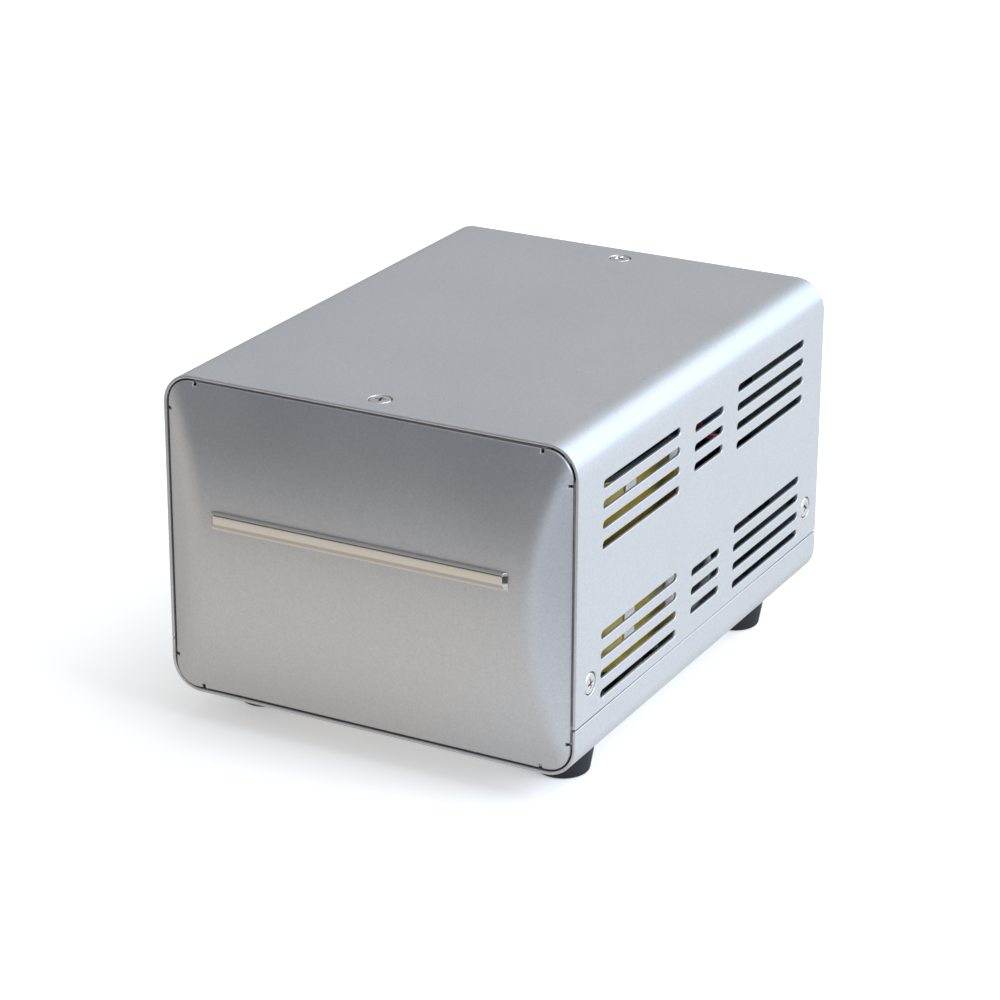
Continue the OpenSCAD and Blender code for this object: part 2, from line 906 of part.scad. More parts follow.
module coil_wrap() {
  color([0.8, 0.68, 0.25])
    coil_ring(wind_2 + wrap_t, coil_r, wind_2, coil_r - wrap_t, wind_lo, wind_hi);
}

module tie_tapes() {
  color("white")
    both_sides()
      for (s = [-1, 1])
        translate([coil_x, core_y + s * tape_y - tape_w / 2, bobbin_lo])
          cube([tape_t, tape_w, bobbin_hi - bobbin_lo]);
}

// Flat cutout held against the coil by its tapes, on the left
module thermal_cutout() {
  color("ivory")
    translate([-coil_x - 4.5, core_y - 7, mid_z - 5])
      cube([4.5, 14, 10]);
}

// Mounting angle of the right side: a bolted bar with a foot on the tray
module angle_right() {
  color("gray")
    difference() {
      union() {
        translate([half_stack, core_y - core_len / 2 + 1, sheet_t + angle_lift])
          cube([angle_t, core_len - 2, angle_h]);
        translate([half_stack, core_y - angle_len / 2, sheet_t])
          cube([angle_t, angle_len, angle_lift + 1]);
        translate([half_stack, core_y - angle_len / 2, sheet_t])
          cube([angle_foot, angle_len, angle_t]);
      }
      at_core_bolts(-case_w / 2)
        cylinder(r = core_bolt_r + hole_room, h = case_w, $fn = 32);
      at_angle_screws(0)
        cylinder(r = shank_r + hole_room, h = over, $fn = 32);
    }
}

module angle_left() {
  mirror([1, 0, 0])
    angle_right();
}

// Hexagon bolts through the stack, with heads on the left
module core_bolts() {
  color("lightgray")
    at_core_bolts(-half_stack - angle_t) {
      translate([0, 0, -4])
        cylinder(r = core_bolt_r * 1.9, h = 4, $fn = 6);
      translate([0, 0, -0.1])
        cylinder(r = core_bolt_r, h = stack + 2 * angle_t + 6.1, $fn = 32);
    }
}

// Thick washers on both ends of the two upper bolts, as thick as the angles
module core_washers() {
  color("lightgray")
    for (s = [-1, 1])
      for (x = [-half_stack - angle_t, half_stack])
        translate([x, core_y + s * (core_len / 2 - bolt_inset), core_z + core_h - yoke / 2])
          rotate([0, 90, 0])
            ring(core_bolt_r * 2.2, core_bolt_r + hole_room, angle_t);
}

module core_nuts() {
  color("darkgray")
    at_core_bolts(half_stack + angle_t)
      hex_nut(core_bolt_r * 1.9, core_bolt_r + thread_room, 4.6);
}

module angle_screws() {
  color("lightgray")
    at_angle_screws(0)
      rotate([180, 0, 0])
        pan_screw(head_r, head_h, shank_r, sheet_t + angle_t + 4);
}

module angle_nuts() {
  color("darkgray")
    at_angle_screws(sheet_t + angle_t)
      hex_nut(head_r, shank_r + thread_room, 3);
}

// Block behind a device face: centred on a place of the rear panel, between two depths
module rear_block(x, z, w, h, y0, y1) {
  translate([x - w / 2, y0, z - h / 2])
    cube([w, y1 - y0, h]);
}

// Places of the two inlet screws, outwards along +Z of their own frame
module at_inlet_screws(y) {
  for (s = [-1, 1])
    translate([inlet_x + s * inlet_screw_gap / 2, y, low_row_z])
      rotate([-90, 0, 0])
        children();
}

// Places of the three inlet pins
module at_inlet_pins() {
  for (p = [[-pin_x, -pin_z], [pin_x, -pin_z], [0, pin_z]])
    translate([inlet_x + p[0], 0, low_row_z + p[1]])
      children();
}

module inlet_body() {
  color([0.1, 0.1, 0.1])
    difference() {
      union() {
        rear_block(inlet_x, low_row_z, inlet_flange_w, inlet_flange_h, rear_y, rear_y + flange_t);
        rear_block(inlet_x, low_row_z, inlet_w + 2 * mould_t, inlet_h + 2 * mould_t, inlet_back, rear_y + 1);
      }
      rear_block(inlet_x, low_row_z, inlet_w, inlet_h, inlet_back + mould_t, rear_y + over);
      at_inlet_pins()
        translate([-pin_w / 2 - insert_room, inlet_back - 1, -pin_t / 2 - insert_room])
          cube([pin_w + 2 * insert_room, mould_t + 2, pin_t + 2 * insert_room]);
      at_inlet_screws(rear_y - 1)
        cylinder(r = inlet_shank_r + hole_room, h = over, $fn = 32);
    }
}

module inlet_pins() {
  color("lightgray")
    at_inlet_pins()
      translate([-pin_w / 2, inlet_back - tab_len, -pin_t / 2])
        cube([pin_w, tab_len + mould_t + inlet_depth - 2, pin_t]);
}

module inlet_screws() {
  color("lightgray")
    at_inlet_screws(rear_y + flange_t)
      pan_screw(inlet_head_r, 1.6, inlet_shank_r, flange_t + sheet_t + 3.4);
}

module inlet_nuts() {
  color("darkgray")
    at_inlet_screws(rear_y - sheet_t - 2.4)
      hex_nut(inlet_nut_r, inlet_shank_r + thread_room, 2.4);
}

// Rocker in its own frame: pivot on the X axis at the origin, its face looks along +Y
module rocker_body() {
  intersection() {
    rotate([0, 90, 0])
      cylinder(r = rocker_r, h = rocker_w, center = true, $fn = 128);
    rotate([90, 0, 90])
      translate([0, 0, -rocker_w / 2])
        linear_extrude(rocker_w)
          polygon([[-4, -rocker_r], [6.4, -rocker_r], [3.6, 0], [6.4, rocker_r], [-4, rocker_r]]);
  }
  rotate([0, 90, 0])
    cylinder(r = pivot_r, h = rocker_w + 2 * (rocker_room + rocker_wall) - 0.4, center = true);
}

module rocker() {
  color([0.12, 0.12, 0.12])
    translate([rocker_x, pivot_y, low_row_z])
      rotate([-rocker_swing / 2, 0, 0])
        rocker_body();
}

module rocker_housing() {
  color([0.1, 0.1, 0.1])
    difference() {
      union() {
        rear_block(rocker_x, low_row_z, rocker_cut_w, rocker_cut_h, rocker_back, rear_y + 1);
        rear_block(rocker_x, low_row_z, rocker_cut_w + 2 * bezel_edge, rocker_cut_h + 2 * bezel_edge,
          rear_y, rear_y + flange_t);
      }
      rear_block(rocker_x, low_row_z, rocker_w + 2 * rocker_room, 2 * (rocker_r + rocker_room),
        pivot_y - 8, rear_y + over);
      translate([rocker_x, pivot_y, low_row_z])
        rotate([0, 90, 0])
          cylinder(r = pivot_r + pivot_room, h = 2 * over, center = true);
      at_rocker_tabs()
        translate([-3.15 - insert_room, rocker_back - 1, -0.4 - insert_room])
          cube([6.3 + 2 * insert_room, 7, 0.8 + 2 * insert_room]);
    }
}

// Places of the four flat tabs behind the rocker housing
module at_rocker_tabs() {
  for (sx = [-1, 1])
    for (sz = [-1, 1])
      translate([rocker_x + sx * 5, 0, low_row_z + sz * 6])
        children();
}

module rocker_tabs() {
  color([0.8, 0.7, 0.45])
    at_rocker_tabs()
      translate([-3.15, rocker_back - tab_len, -0.4])
        cube([6.3, tab_len + 5, 0.8]);
}

// Breaker: a block with a threaded bush through the panel and a stepped bore for the button
module breaker_body() {
  color([0.12, 0.12, 0.12])
    difference() {
      union() {
        rear_block(breaker_x, low_row_z, breaker_w, breaker_w * 1.5, breaker_back, rear_y - sheet_t);
        translate([breaker_x, rear_y - sheet_t - 1, low_row_z])
          rotate([-90, 0, 0])
            cylinder(r = bush_r, h = bush_tip - rear_y + sheet_t + 1);
      }
      translate([breaker_x, breaker_back + 10, low_row_z])
        rotate([-90, 0, 0])
          cylinder(r = button_r + button_room, h = case_d);
      translate([breaker_x, breaker_back + 10, low_row_z])
        rotate([-90, 0, 0])
          cylinder(r = button_r + 1.2, h = 9);
      for (s = [-1, 1])
        translate([breaker_x - 3.15 - insert_room, breaker_back - 1, low_row_z + s * 7 - 0.4 - insert_room])
          cube([6.3 + 2 * insert_room, 7, 0.8 + 2 * insert_room]);
    }
}

module breaker_tabs() {
  color([0.8, 0.7, 0.45])
    for (s = [-1, 1])
      translate([breaker_x - 3.15, breaker_back - tab_len, low_row_z + s * 7 - 0.4])
        cube([6.3, tab_len + 5, 0.8]);
}

module breaker_nut() {
  color("lightgray")
    translate([breaker_x, rear_y, low_row_z])
      rotate([-90, 0, 0])
        hex_nut(ring_nut_r, bush_r + thread_room, 2.6);
}

// Button with a collar that keeps it in the breaker
module reset_button() {
  color("white")
    translate([breaker_x, 0, low_row_z])
      rotate([-90, 0, 0]) {
        translate([0, 0, breaker_back + 12])
          cylinder(r = button_r, h = button_tip - breaker_back - 12);
        translate([0, 0, breaker_back + 11.5])
          cylinder(r = button_r + 0.9, h = 2);
      }
}

// Places of the flat outlet's three contacts: two blades and an earth
module at_flat_contacts() {
  for (p = [[-flat_gap / 2, 4], [flat_gap / 2, 4], [0, -7.9]])
    translate([flat_x + p[0], 0, high_row_z + p[1]])
      children();
}

module flat_outlet() {
  color([0.14, 0.14, 0.14])
    difference() {
      union() {
        rear_block(flat_x, high_row_z, flat_w, flat_h, rear_y, rear_y + flange_t);
        rear_block(flat_x, high_row_z, flat_w - 4, flat_h - 4, flat_back, rear_y + 1);
      }
      for (s = [-1, 1])
        rear_block(flat_x + s * flat_gap / 2, high_row_z + 4, flat_slot_w, flat_slot_h,
          rear_y + flange_t - pin_depth, rear_y + over);
      translate([flat_x, rear_y + flange_t - pin_depth, high_row_z - 7.9])
        rotate([-90, 0, 0])
          cylinder(r = earth_r, h = over);
      at_flat_contacts()
        translate([-0.4 - insert_room, flat_back - 1, -3.15 - insert_room])
          cube([0.8 + 2 * insert_room, 7, 6.3 + 2 * insert_room]);
    }
}

module flat_contacts() {
  color([0.8, 0.7, 0.45])
    at_flat_contacts()
      translate([-0.4, flat_back - tab_len, -3.15])
        cube([0.8, tab_len + 5, 6.3]);
}

module round_outlet() {
  color([0.14, 0.14, 0.14])
    difference() {
      union() {
        translate([round_x, rear_y, high_row_z])
          rotate([-90, 0, 0])
            linear_extrude(flange_t)
              round_rect(round_face, round_face, 4);
        translate([round_x, round_back, high_row_z])
          rotate([-90, 0, 0])
            cylinder(r = round_r + mould_t, h = rear_y - round_back + 1, $fn = 96);
      }
      translate([round_x, rear_y + flange_t - round_depth, high_row_z])
        rotate([-90, 0, 0])
          cylinder(r = round_r, h = over + round_depth, $fn = 96);
      for (s = [-1, 1]) {
        translate([round_x + s * round_gap / 2, round_back + 7, high_row_z])
          rotate([-90, 0, 0])
            cylinder(r = round_pin_r, h = over, $fn = 32);
        translate([round_x + s * round_gap / 2, round_back - 1, high_row_z])
          translate([-0.4 - insert_room, 0, -3.15 - insert_room])
            cube([0.8 + 2 * insert_room, 7, 6.3 + 2 * insert_room]);
      }
    }
}

module round_contacts() {
  color([0.8, 0.7, 0.45])
    for (s = [-1, 1])
      translate([round_x + s * round_gap / 2 - 0.4, round_back - tab_len, high_row_z - 3.15])
        cube([0.8, tab_len + 5, 6.3]);
}

// Depth of the earth screw on the tray floor
function earth_y() = case_d - 44;

module earth_screw() {
  color("lightgray")
    translate([0, earth_y(), 0])
      rotate([180, 0, 0])
        pan_screw(head_r, head_h, shank_r, sheet_t + 6);
}

// Nut and ring tag that hold the earth lead on the tray
module earth_nut() {
  color([0.8, 0.7, 0.45])
    translate([0, earth_y(), sheet_t])
      hex_nut(head_r + 0.4, shank_r + thread_room, 3.6);
}

// Point of a smooth curve through the stated points at part t of span k
function spline(p, k, t) =
  let (n = len(p), a = p[max(k - 1, 0)], b = p[k], c = p[min(k + 1, n - 1)], d = p[min(k + 2, n - 1)])
  0.5 * (2 * b + (c - a) * t + (2 * a - 5 * b + 4 * c - d) * t * t + (3 * b - a - 3 * c + d) * t * t * t);

// Unit vector along v
function unit(v) = v / norm(v);

// Round lead swept along a smooth curve through the stated points, with square ends
module lead(p, r, side) {
  steps = 4;
  sides = 8;
  last = len(p) - 1;
  path = concat([for (k = [0 : last - 1]) for (i = [0 : steps - 1]) spline(p, k, i / steps)], [p[last]]);
  n = len(path);
  tang = [for (i = [0 : n - 1])
    i == 0 ? unit(p[1] - p[0]) : i == n - 1 ? unit(p[last] - p[last - 1]) : unit(path[i + 1] - path[i - 1])];
  pts = [for (i = [0 : n - 1])
    let (u = unit(cross(tang[i], side)), v = cross(tang[i], u))
    for (j = [0 : sides - 1]) path[i] + r * (cos(j * 360 / sides) * u + sin(j * 360 / sides) * v)];
  body = [for (i = [0 : n - 2]) for (j = [0 : sides - 1])
    let (a = i * sides + j, b = i * sides + (j + 1) % sides)
    each [[a, b, a + sides], [b, b + sides, a + sides]]];
  ends = [[for (j = [0 : sides - 1]) sides - 1 - j], [for (j = [0 : sides - 1]) (n - 1) * sides + j]];
  polyhedron(pts, concat(body, ends), convexity = 6);
}

// Coil to the flat outlet's right blade, over the flange and along the right side
module lead_blue() {
  x1 = flat_x + flat_gap / 2;
  y1 = flat_back - tab_len;
  z1 = high_row_z + 4;
  color([0.15, 0.3, 0.75])
    lead([[coil_x - 6, core_y + 4, bobbin_hi], [coil_x - 6, core_y + 4, bobbin_hi + 4],
      [coil_x + 3.2, core_y + 10, bobbin_hi + 3.5], [coil_x + 3.2, core_y + 40, bobbin_hi + 1],
      [coil_x + 1, core_y + 66, bobbin_hi - 7], [(coil_x + x1) / 2, (core_rear + y1) / 2 + 8, z1 - 2],
      [x1, y1 - 8, z1], [x1, y1, z1]], lead_r, [1, -0.15, 0]);
}

// Coil to the round outlet's left contact, across behind the core
module lead_red() {
  x1 = round_x - round_gap / 2;
  y1 = round_back - tab_len;
  z1 = high_row_z;
  color([0.7, 0.12, 0.1])
    lead([[coil_x - 13, core_y + 28, bobbin_hi], [coil_x - 13, core_y + 28, bobbin_hi + 4],
      [coil_x - 6, core_y + 40, bobbin_hi + 2], [coil_x - 2, core_y + 46, bobbin_hi - 9],
      [coil_x - 10, core_y + 64, bobbin_hi - 16], [0, (core_rear + y1) / 2, z1 - 6], [x1, y1 - 8, z1],
      [x1, y1, z1]], lead_r, [0.87, 0.5, 0]);
}

// Coil to the rocker, out under the lower flange and up behind the core
module lead_white() {
  x1 = rocker_x + 5;
  y1 = rocker_back - tab_len;
  z1 = low_row_z + 6;
  color([0.9, 0.9, 0.88])
    lead([[coil_x - 6, core_y + 22, bobbin_lo], [coil_x - 6, core_y + 23, bobbin_lo - 4],
      [coil_x - 1, core_y + 36, bobbin_lo - 4], [coil_x + 1, core_y + 46, bobbin_lo + 5],
      [coil_x - 8, core_y + 60, bobbin_lo + 14], [x1 + 20, (core_rear + y1) / 2 + 2, z1 + 1],
      [x1, y1 - 7, z1], [x1, y1, z1]], lead_r, [0.94, 0.34, 0]);
}

// Inlet to the rocker, a loop in front of both
module lead_black() {
  x0 = inlet_x - pin_x;
  y0 = inlet_back - tab_len;
  z0 = low_row_z - pin_z;
  x1 = rocker_x + 5;
  y1 = rocker_back - tab_len;
  z1 = low_row_z - 6;
  color([0.08, 0.08, 0.08])
    lead([[x0, y0, z0], [x0, y0 - 5, z0], [(x0 * 2 + x1) / 3, (core_rear + y0) / 2, z0 - 2],
      [(x0 + x1 * 2) / 3, (core_rear + y1) / 2, z1 - 1], [x1, y1 - 5, z1], [x1, y1, z1]], lead_r, [0, 0.1, 1]);
}

// Rocker to the breaker
module lead_brown() {
  x0 = rocker_x - 5;
  y0 = rocker_back - tab_len;
  z0 = low_row_z - 6;
  x1 = breaker_x;
  y1 = breaker_back - tab_len;
  z1 = low_row_z - 7;
  color([0.35, 0.2, 0.1])
    lead([[x0, y0, z0], [x0, y0 - 5, z0], [(x0 * 2 + x1) / 3, (core_rear + y0) / 2, z0 - 2],
      [(x0 + x1 * 2) / 3, (core_rear + y1) / 2, z1 - 1], [x1, y1 - 5, z1], [x1, y1, z1]], lead_r, [0, 0.1, 1]);
}

// Inlet earth pin to the nut on the tray
module lead_earth() {
  x0 = inlet_x;
  y0 = inlet_back - tab_len;
  z0 = low_row_z + pin_z;
  x1 = head_r + 0.4;
  color([0.3, 0.55, 0.15])
    lead([[x0, y0, z0], [x0, y0 - 5, z0], [x0 - 8, y0 - 16, z0 - 14], [x0 - 20, earth_y() + 1, sheet_t + 10],
      [x1 + 8, earth_y(), sheet_t + 2.2], [x1, earth_y(), sheet_t + 1.8]], earth_lead_r, [0, 1, 0.2]);
}

in_case() bottom_tray();
in_case() top_cover();
in_case() front_panel();
in_case() rear_panel();
in_case() rear_flanges();
in_case() name_bar();
in_case() top_screws();
in_case() side_screws();
in_case() tray_screws();
in_case() clinch_nuts();
in_case() foot_front_left();
in_case() foot_front_right();
in_case() foot_rear_left();
in_case() foot_rear_right();
in_case() foot_screws();
in_case() foot_nuts();
in_case() e_laminations();
in_case() i_laminations();
in_case() coil_bobbin();
in_case() inner_winding();
in_case() outer_winding();
in_case() coil_wrap();
in_case() tie_tapes();
in_case() thermal_cutout();
in_case() angle_left();
in_case() angle_right();
in_case() core_bolts();
in_case() core_washers();
in_case() core_nuts();
in_case() angle_screws();
in_case() angle_nuts();
in_case() inlet_body();
in_case() inlet_pins();
in_case() inlet_screws();
in_case() inlet_nuts();
in_case() rocker_housing();
in_case() rocker();
in_case() rocker_tabs();
in_case() breaker_body();
in_case() breaker_nut();
in_case() reset_button();
in_case() breaker_tabs();
in_case() flat_outlet();
in_case() flat_contacts();
in_case() round_outlet();
in_case() round_contacts();
in_case() earth_screw();
in_case() earth_nut();
in_case() lead_blue();
in_case() lead_red();
in_case() lead_white();
in_case() lead_black();
in_case() lead_brown();
in_case() lead_earth();
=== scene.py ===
import math
import bmesh
import bpy
import numpy as np
from mathutils import Matrix


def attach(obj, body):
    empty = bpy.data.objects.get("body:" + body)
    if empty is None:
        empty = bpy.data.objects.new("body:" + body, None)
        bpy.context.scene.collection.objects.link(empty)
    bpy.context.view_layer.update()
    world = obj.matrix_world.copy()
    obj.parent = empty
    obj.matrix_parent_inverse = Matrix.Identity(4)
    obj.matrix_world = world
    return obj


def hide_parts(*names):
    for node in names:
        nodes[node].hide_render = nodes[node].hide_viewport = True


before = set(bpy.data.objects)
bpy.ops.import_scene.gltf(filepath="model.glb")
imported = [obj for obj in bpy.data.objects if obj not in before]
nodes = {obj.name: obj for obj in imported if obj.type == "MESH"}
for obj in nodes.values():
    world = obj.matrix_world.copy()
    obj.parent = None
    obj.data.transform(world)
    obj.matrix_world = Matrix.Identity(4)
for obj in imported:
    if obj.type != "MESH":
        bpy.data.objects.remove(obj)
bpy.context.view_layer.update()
print("frame loaded:", len(nodes), "nodes")

mm = 0.001  # one millimetre in scene metres

# sizes of the case in millimetres; the front rim is y = 0 and the case bottom z = 0
case = dict(width=162.0, depth=206.0, height=120.0, sheet=1.2, corner=11.5, seam=18.6, seamGap=0.6,
            footHeight=12.6, panelGap=0.65, rearY=203.0, edge=0.35, trim=0.4)
halfWidth, halfDepth, halfHeight = case["width"] / 2, case["depth"] / 2, case["height"] / 2


# case millimetres to scene metres: the middle of the depth moves to y = 0 and the floor to z = 0
def toScene(points):
    return (np.asarray(points, float) + [0.0, -halfDepth, case["footHeight"]]) * mm


# sRGB hex to linear: below 0.04045 divide by 12.92, above it the 2.4 power of the shifted value
def linear(hexColour):
    c = np.array([int(hexColour[i:i + 2], 16) for i in (0, 2, 4)]) / 255.0
    c = np.where(c <= 0.04045, c / 12.92, ((c + 0.055) / 1.055) ** 2.4)
    return (float(c[0]), float(c[1]), float(c[2]), 1.0)


# piece name of a CAD node: its words joined, each after the first with a capital
def camel(node):
    words = node.split("_")
    return words[0] + "".join(word.title() for word in words[1:])


# adds one node; settings fill attributes or input values, links join inputs to sockets or to a node's first output
def addNode(tree, kind, settings=None, links=None):
    node = tree.nodes.new("ShaderNode" + kind)
    for key, value in (settings or {}).items():
        if isinstance(key, str) and hasattr(node, key):
            setattr(node, key, value)
        else:
            node.inputs[key].default_value = value
    for key, source in (links or {}).items():
        tree.links.new(source.outputs[0] if hasattr(source, "outputs") else source, node.inputs[key])
    return node


# a new material with its tree, its Principled shader and Object coordinates
def startMaterial(name, shaderValues):
    mat = bpy.data.materials.new(name)
    mat.use_nodes = True
    tree = mat.node_tree
    shader = tree.nodes["Principled BSDF"]
    for key, value in shaderValues.items():
        shader.inputs[key].default_value = value
    coords = addNode(tree, "TexCoord").outputs["Object"]
    return mat, tree, shader, coords


# joins a finish to its shader: a colour between two by one pattern, a roughness between two by another pattern over
# a span of its values, and the normal of a bump
def joinFinish(tree, shader, colours, rough, colourBy, roughBy, bump, span=(0.0, 1.0)):
    low, high = linear(colours[0]), linear(colours[1])
    colour = addNode(tree, "Mix", {"data_type": "RGBA", 6: low, 7: high}, {0: colourBy})
    level = addNode(tree, "MapRange", {1: span[0], 2: span[1], 3: rough[0], 4: rough[1]}, {0: roughBy})
    tree.links.new(colour.outputs[2], shader.inputs["Base Color"])
    tree.links.new(level.outputs[0], shader.inputs["Roughness"])
    tree.links.new(bump.outputs[0], shader.inputs["Normal"])
    return colour


# sprayed silver paint: aluminium flakes under a thin lacquer, a satin sheen with a fine sparkle; the flakes are drawn
# at 0.5 mm so that they show, the spray drifts over 60 mm and the orange peel is 1.6 mm wide
paint = dict(colours=("bcbec0", "cdcfd1"), rough=(0.36, 0.42), roughSpan=(0.3, 0.7), metallic=0.72, coat=0.1,
             coatRough=0.25, flake=0.5, sparkle=0.6, drift=60.0, driftShare=0.4, peel=1.6, bump=0.005)


def makeSilverPaint():
    mat, tree, shader, coords = startMaterial("silverPaint", {"Metallic": paint["metallic"],
                                                              "Coat Weight": paint["coat"],
                                                              "Coat Roughness": paint["coatRough"]})
    flake = addNode(tree, "TexVoronoi", {"Scale": 1000 / paint["flake"]}, {"Vector": coords})
    drift = addNode(tree, "TexNoise", {"Scale": 1000 / paint["drift"], "Detail": 3.0}, {"Vector": coords})
    peel = addNode(tree, "TexNoise", {"Scale": 1000 / paint["peel"], "Detail": 2.0}, {"Vector": coords})
    sparkle = addNode(tree, "MapRange", {1: 0.1, 2: 0.9, 3: 0.0, 4: paint["sparkle"]}, {0: flake.outputs["Color"]})
    both = addNode(tree, "Math", {"operation": "MULTIPLY_ADD", 1: paint["driftShare"]}, {0: drift, 2: sparkle})
    grain = addNode(tree, "Bump", {"Distance": paint["bump"] * mm}, {"Height": flake.outputs["Color"]})
    skin = addNode(tree, "Bump", {"Distance": paint["bump"] * mm}, {"Height": peel, "Normal": grain})
    joinFinish(tree, shader, paint["colours"], paint["rough"], both, drift, skin, paint["roughSpan"])
    return mat


# plated bright bar: nearly a mirror, with faint polishing lines 0.3 mm apart, drawn out along X
polish = dict(colours=("c6c5c2", "d4d3d0"), rough=(0.1, 0.2), lines=0.3, drawn=0.02, bump=0.002)


def makeBrightBar():
    mat, tree, shader, coords = startMaterial("platedBar", {"Metallic": 1.0})
    stretch = addNode(tree, "Mapping", {"Scale": (polish["drawn"], 1.0, 1.0)}, {"Vector": coords})
    lines = addNode(tree, "TexNoise", {"Scale": 1000 / polish["lines"], "Detail": 3.0}, {"Vector": stretch})
    grain = addNode(tree, "Bump", {"Distance": polish["bump"] * mm}, {"Height": lines})
    joinFinish(tree, shader, polish["colours"], polish["rough"], lines, lines, grain)
    return mat


# plated metal: bright with passivation clouds of 2.5 mm and tool marks of 0.25 mm, and brown rust with painted
# shade where a mesh carries that attribute; two colours give zinc, brass or copper
plating = dict(cloud=2.5, marks=0.25, bump=0.005, grime="54423c")


def makePlated(name, colours, rough=(0.2, 0.38)):
    mat, tree, shader, coords = startMaterial(name, {"Metallic": 1.0})
    cloud = addNode(tree, "TexNoise", {"Scale": 1000 / plating["cloud"], "Detail": 5.0}, {"Vector": coords})
    tooling = addNode(tree, "TexNoise", {"Scale": 1000 / plating["marks"], "Detail": 2.0}, {"Vector": coords})
    grain = addNode(tree, "Bump", {"Distance": plating["bump"] * mm}, {"Height": tooling})
    colour = joinFinish(tree, shader, colours, rough, cloud, cloud, grain)
    # the attribute darkens the colour towards brown: rust, and painted shade in the cross recess
    grime = addNode(tree, "Attribute", {"attribute_name": "grime"})
    rustedAndShaded = addNode(tree, "Mix", {"data_type": "RGBA", 7: linear(plating["grime"])},
                    {0: grime.outputs["Fac"], 6: colour.outputs[2]})
    tree.links.new(rustedAndShaded.outputs[2], shader.inputs["Base Color"])
    return mat


# moulded plastic, rubber or cable sheath: one colour with a spark-eroded grain and rub wear in patches of 14 mm
moulding = dict(ior=1.5, rub=14.0, rubShare=0.6, pitShare=0.4)


def makeMoulded(name, colours, rough, grainSize=0.5, depth=0.01):
    mat, tree, shader, coords = startMaterial(name, {"IOR": moulding["ior"]})
    pits = addNode(tree, "TexNoise", {"Scale": 1000 / grainSize, "Detail": 4.0}, {"Vector": coords})
    rub = addNode(tree, "TexNoise", {"Scale": 1000 / moulding["rub"], "Detail": 4.0}, {"Vector": coords})
    worn = addNode(tree, "Math", {"operation": "MULTIPLY", 1: moulding["rubShare"]}, {0: rub})
    both = addNode(tree, "Math", {"operation": "MULTIPLY_ADD", 1: moulding["pitShare"]}, {0: pits, 2: worn})
    grain = addNode(tree, "Bump", {"Distance": depth * mm}, {"Height": pits})
    joinFinish(tree, shader, colours, rough, both, both, grain)
    return mat


# varnished lamination edges: dark steel sheets stacked along X, each a fine line drawn 1 mm apart so that it shows,
# with varnish stains of 9 mm; one wave takes 2 pi / 20 of its scaled length
varnish = dict(colours=("222326", "5a5b5f"), rough=(0.35, 0.6), metallic=0.55, sheet=1.0, stain=9.0, bump=0.08)


def makeLaminations():
    mat, tree, shader, coords = startMaterial("varnishedLaminations", {"Metallic": varnish["metallic"]})
    scale = 1000 * math.pi / 10 / varnish["sheet"]
    sheets = addNode(tree, "TexWave", {"Scale": scale, "Distortion": 0.4, "Detail": 1.0}, {"Vector": coords})
    stain = addNode(tree, "TexNoise", {"Scale": 1000 / varnish["stain"], "Detail": 5.0}, {"Vector": coords})
    half = addNode(tree, "Math", {"operation": "MULTIPLY", 1: 0.5}, {0: stain})
    both = addNode(tree, "Math", {"operation": "MULTIPLY_ADD", 1: 0.5}, {0: sheets.outputs[1], 2: half})
    grain = addNode(tree, "Bump", {"Distance": varnish["bump"] * mm}, {"Height": sheets.outputs[1]})
    joinFinish(tree, shader, varnish["colours"], varnish["rough"], both, stain, grain)
    return mat


# polyester film tape: yellow and glossy, darker in its creases of 9 mm as painted shade, with fine crinkles of 1.5 mm
film = dict(colours=("85741a", "d2bb48"), rough=(0.22, 0.45), ior=1.6, coat=0.3, coatRough=0.15, shadedCrease=9.0,
            creaseBump=0.3, crinkle=1.5, crinkleBump=0.03)


def makeCoilTape():
    mat, tree, shader, coords = startMaterial("yellowFilmTape", {"IOR": film["ior"], "Coat Weight": film["coat"],
                                                                 "Coat Roughness": film["coatRough"]})
    shadedCrease = addNode(tree, "TexNoise", {"Scale": 1000 / film["shadedCrease"], "Detail": 4.0, "Distortion": 1.0},
                     {"Vector": coords})
    crinkle = addNode(tree, "TexNoise", {"Scale": 1000 / film["crinkle"], "Detail": 2.0}, {"Vector": coords})
    broad = addNode(tree, "Bump", {"Distance": film["creaseBump"] * mm}, {"Height": shadedCrease})
    fine = addNode(tree, "Bump", {"Distance": film["crinkleBump"] * mm}, {"Height": crinkle, "Normal": broad})
    # the crease pattern darkens the colour: painted shade in the creases
    joinFinish(tree, shader, film["colours"], film["rough"], shadedCrease, shadedCrease, fine)
    return mat


# woven cotton tape: crossed threads 0.7 mm apart, a soft matt white
cotton = dict(colours=("ebe9e0", "faf9f4"), rough=(0.7, 0.9), ior=1.5, sheen=0.2, thread=0.7, bump=0.1)


def makeWovenTape():
    mat, tree, shader, coords = startMaterial("wovenCottonTape", {"IOR": cotton["ior"],
                                                                  "Sheen Weight": cotton["sheen"]})
    scale = 1000 * math.pi / 10 / cotton["thread"]
    warp = addNode(tree, "TexWave", {"bands_direction": "Y", "Scale": scale}, {"Vector": coords})
    weft = addNode(tree, "TexWave", {"bands_direction": "Z", "Scale": scale}, {"Vector": coords})
    weave = addNode(tree, "Math", {"operation": "MULTIPLY"}, {0: warp.outputs[1], 1: weft.outputs[1]})
    grain = addNode(tree, "Bump", {"Distance": cotton["bump"] * mm}, {"Height": weave})
    joinFinish(tree, shader, cotton["colours"], cotton["rough"], weave, weave, grain)
    return mat


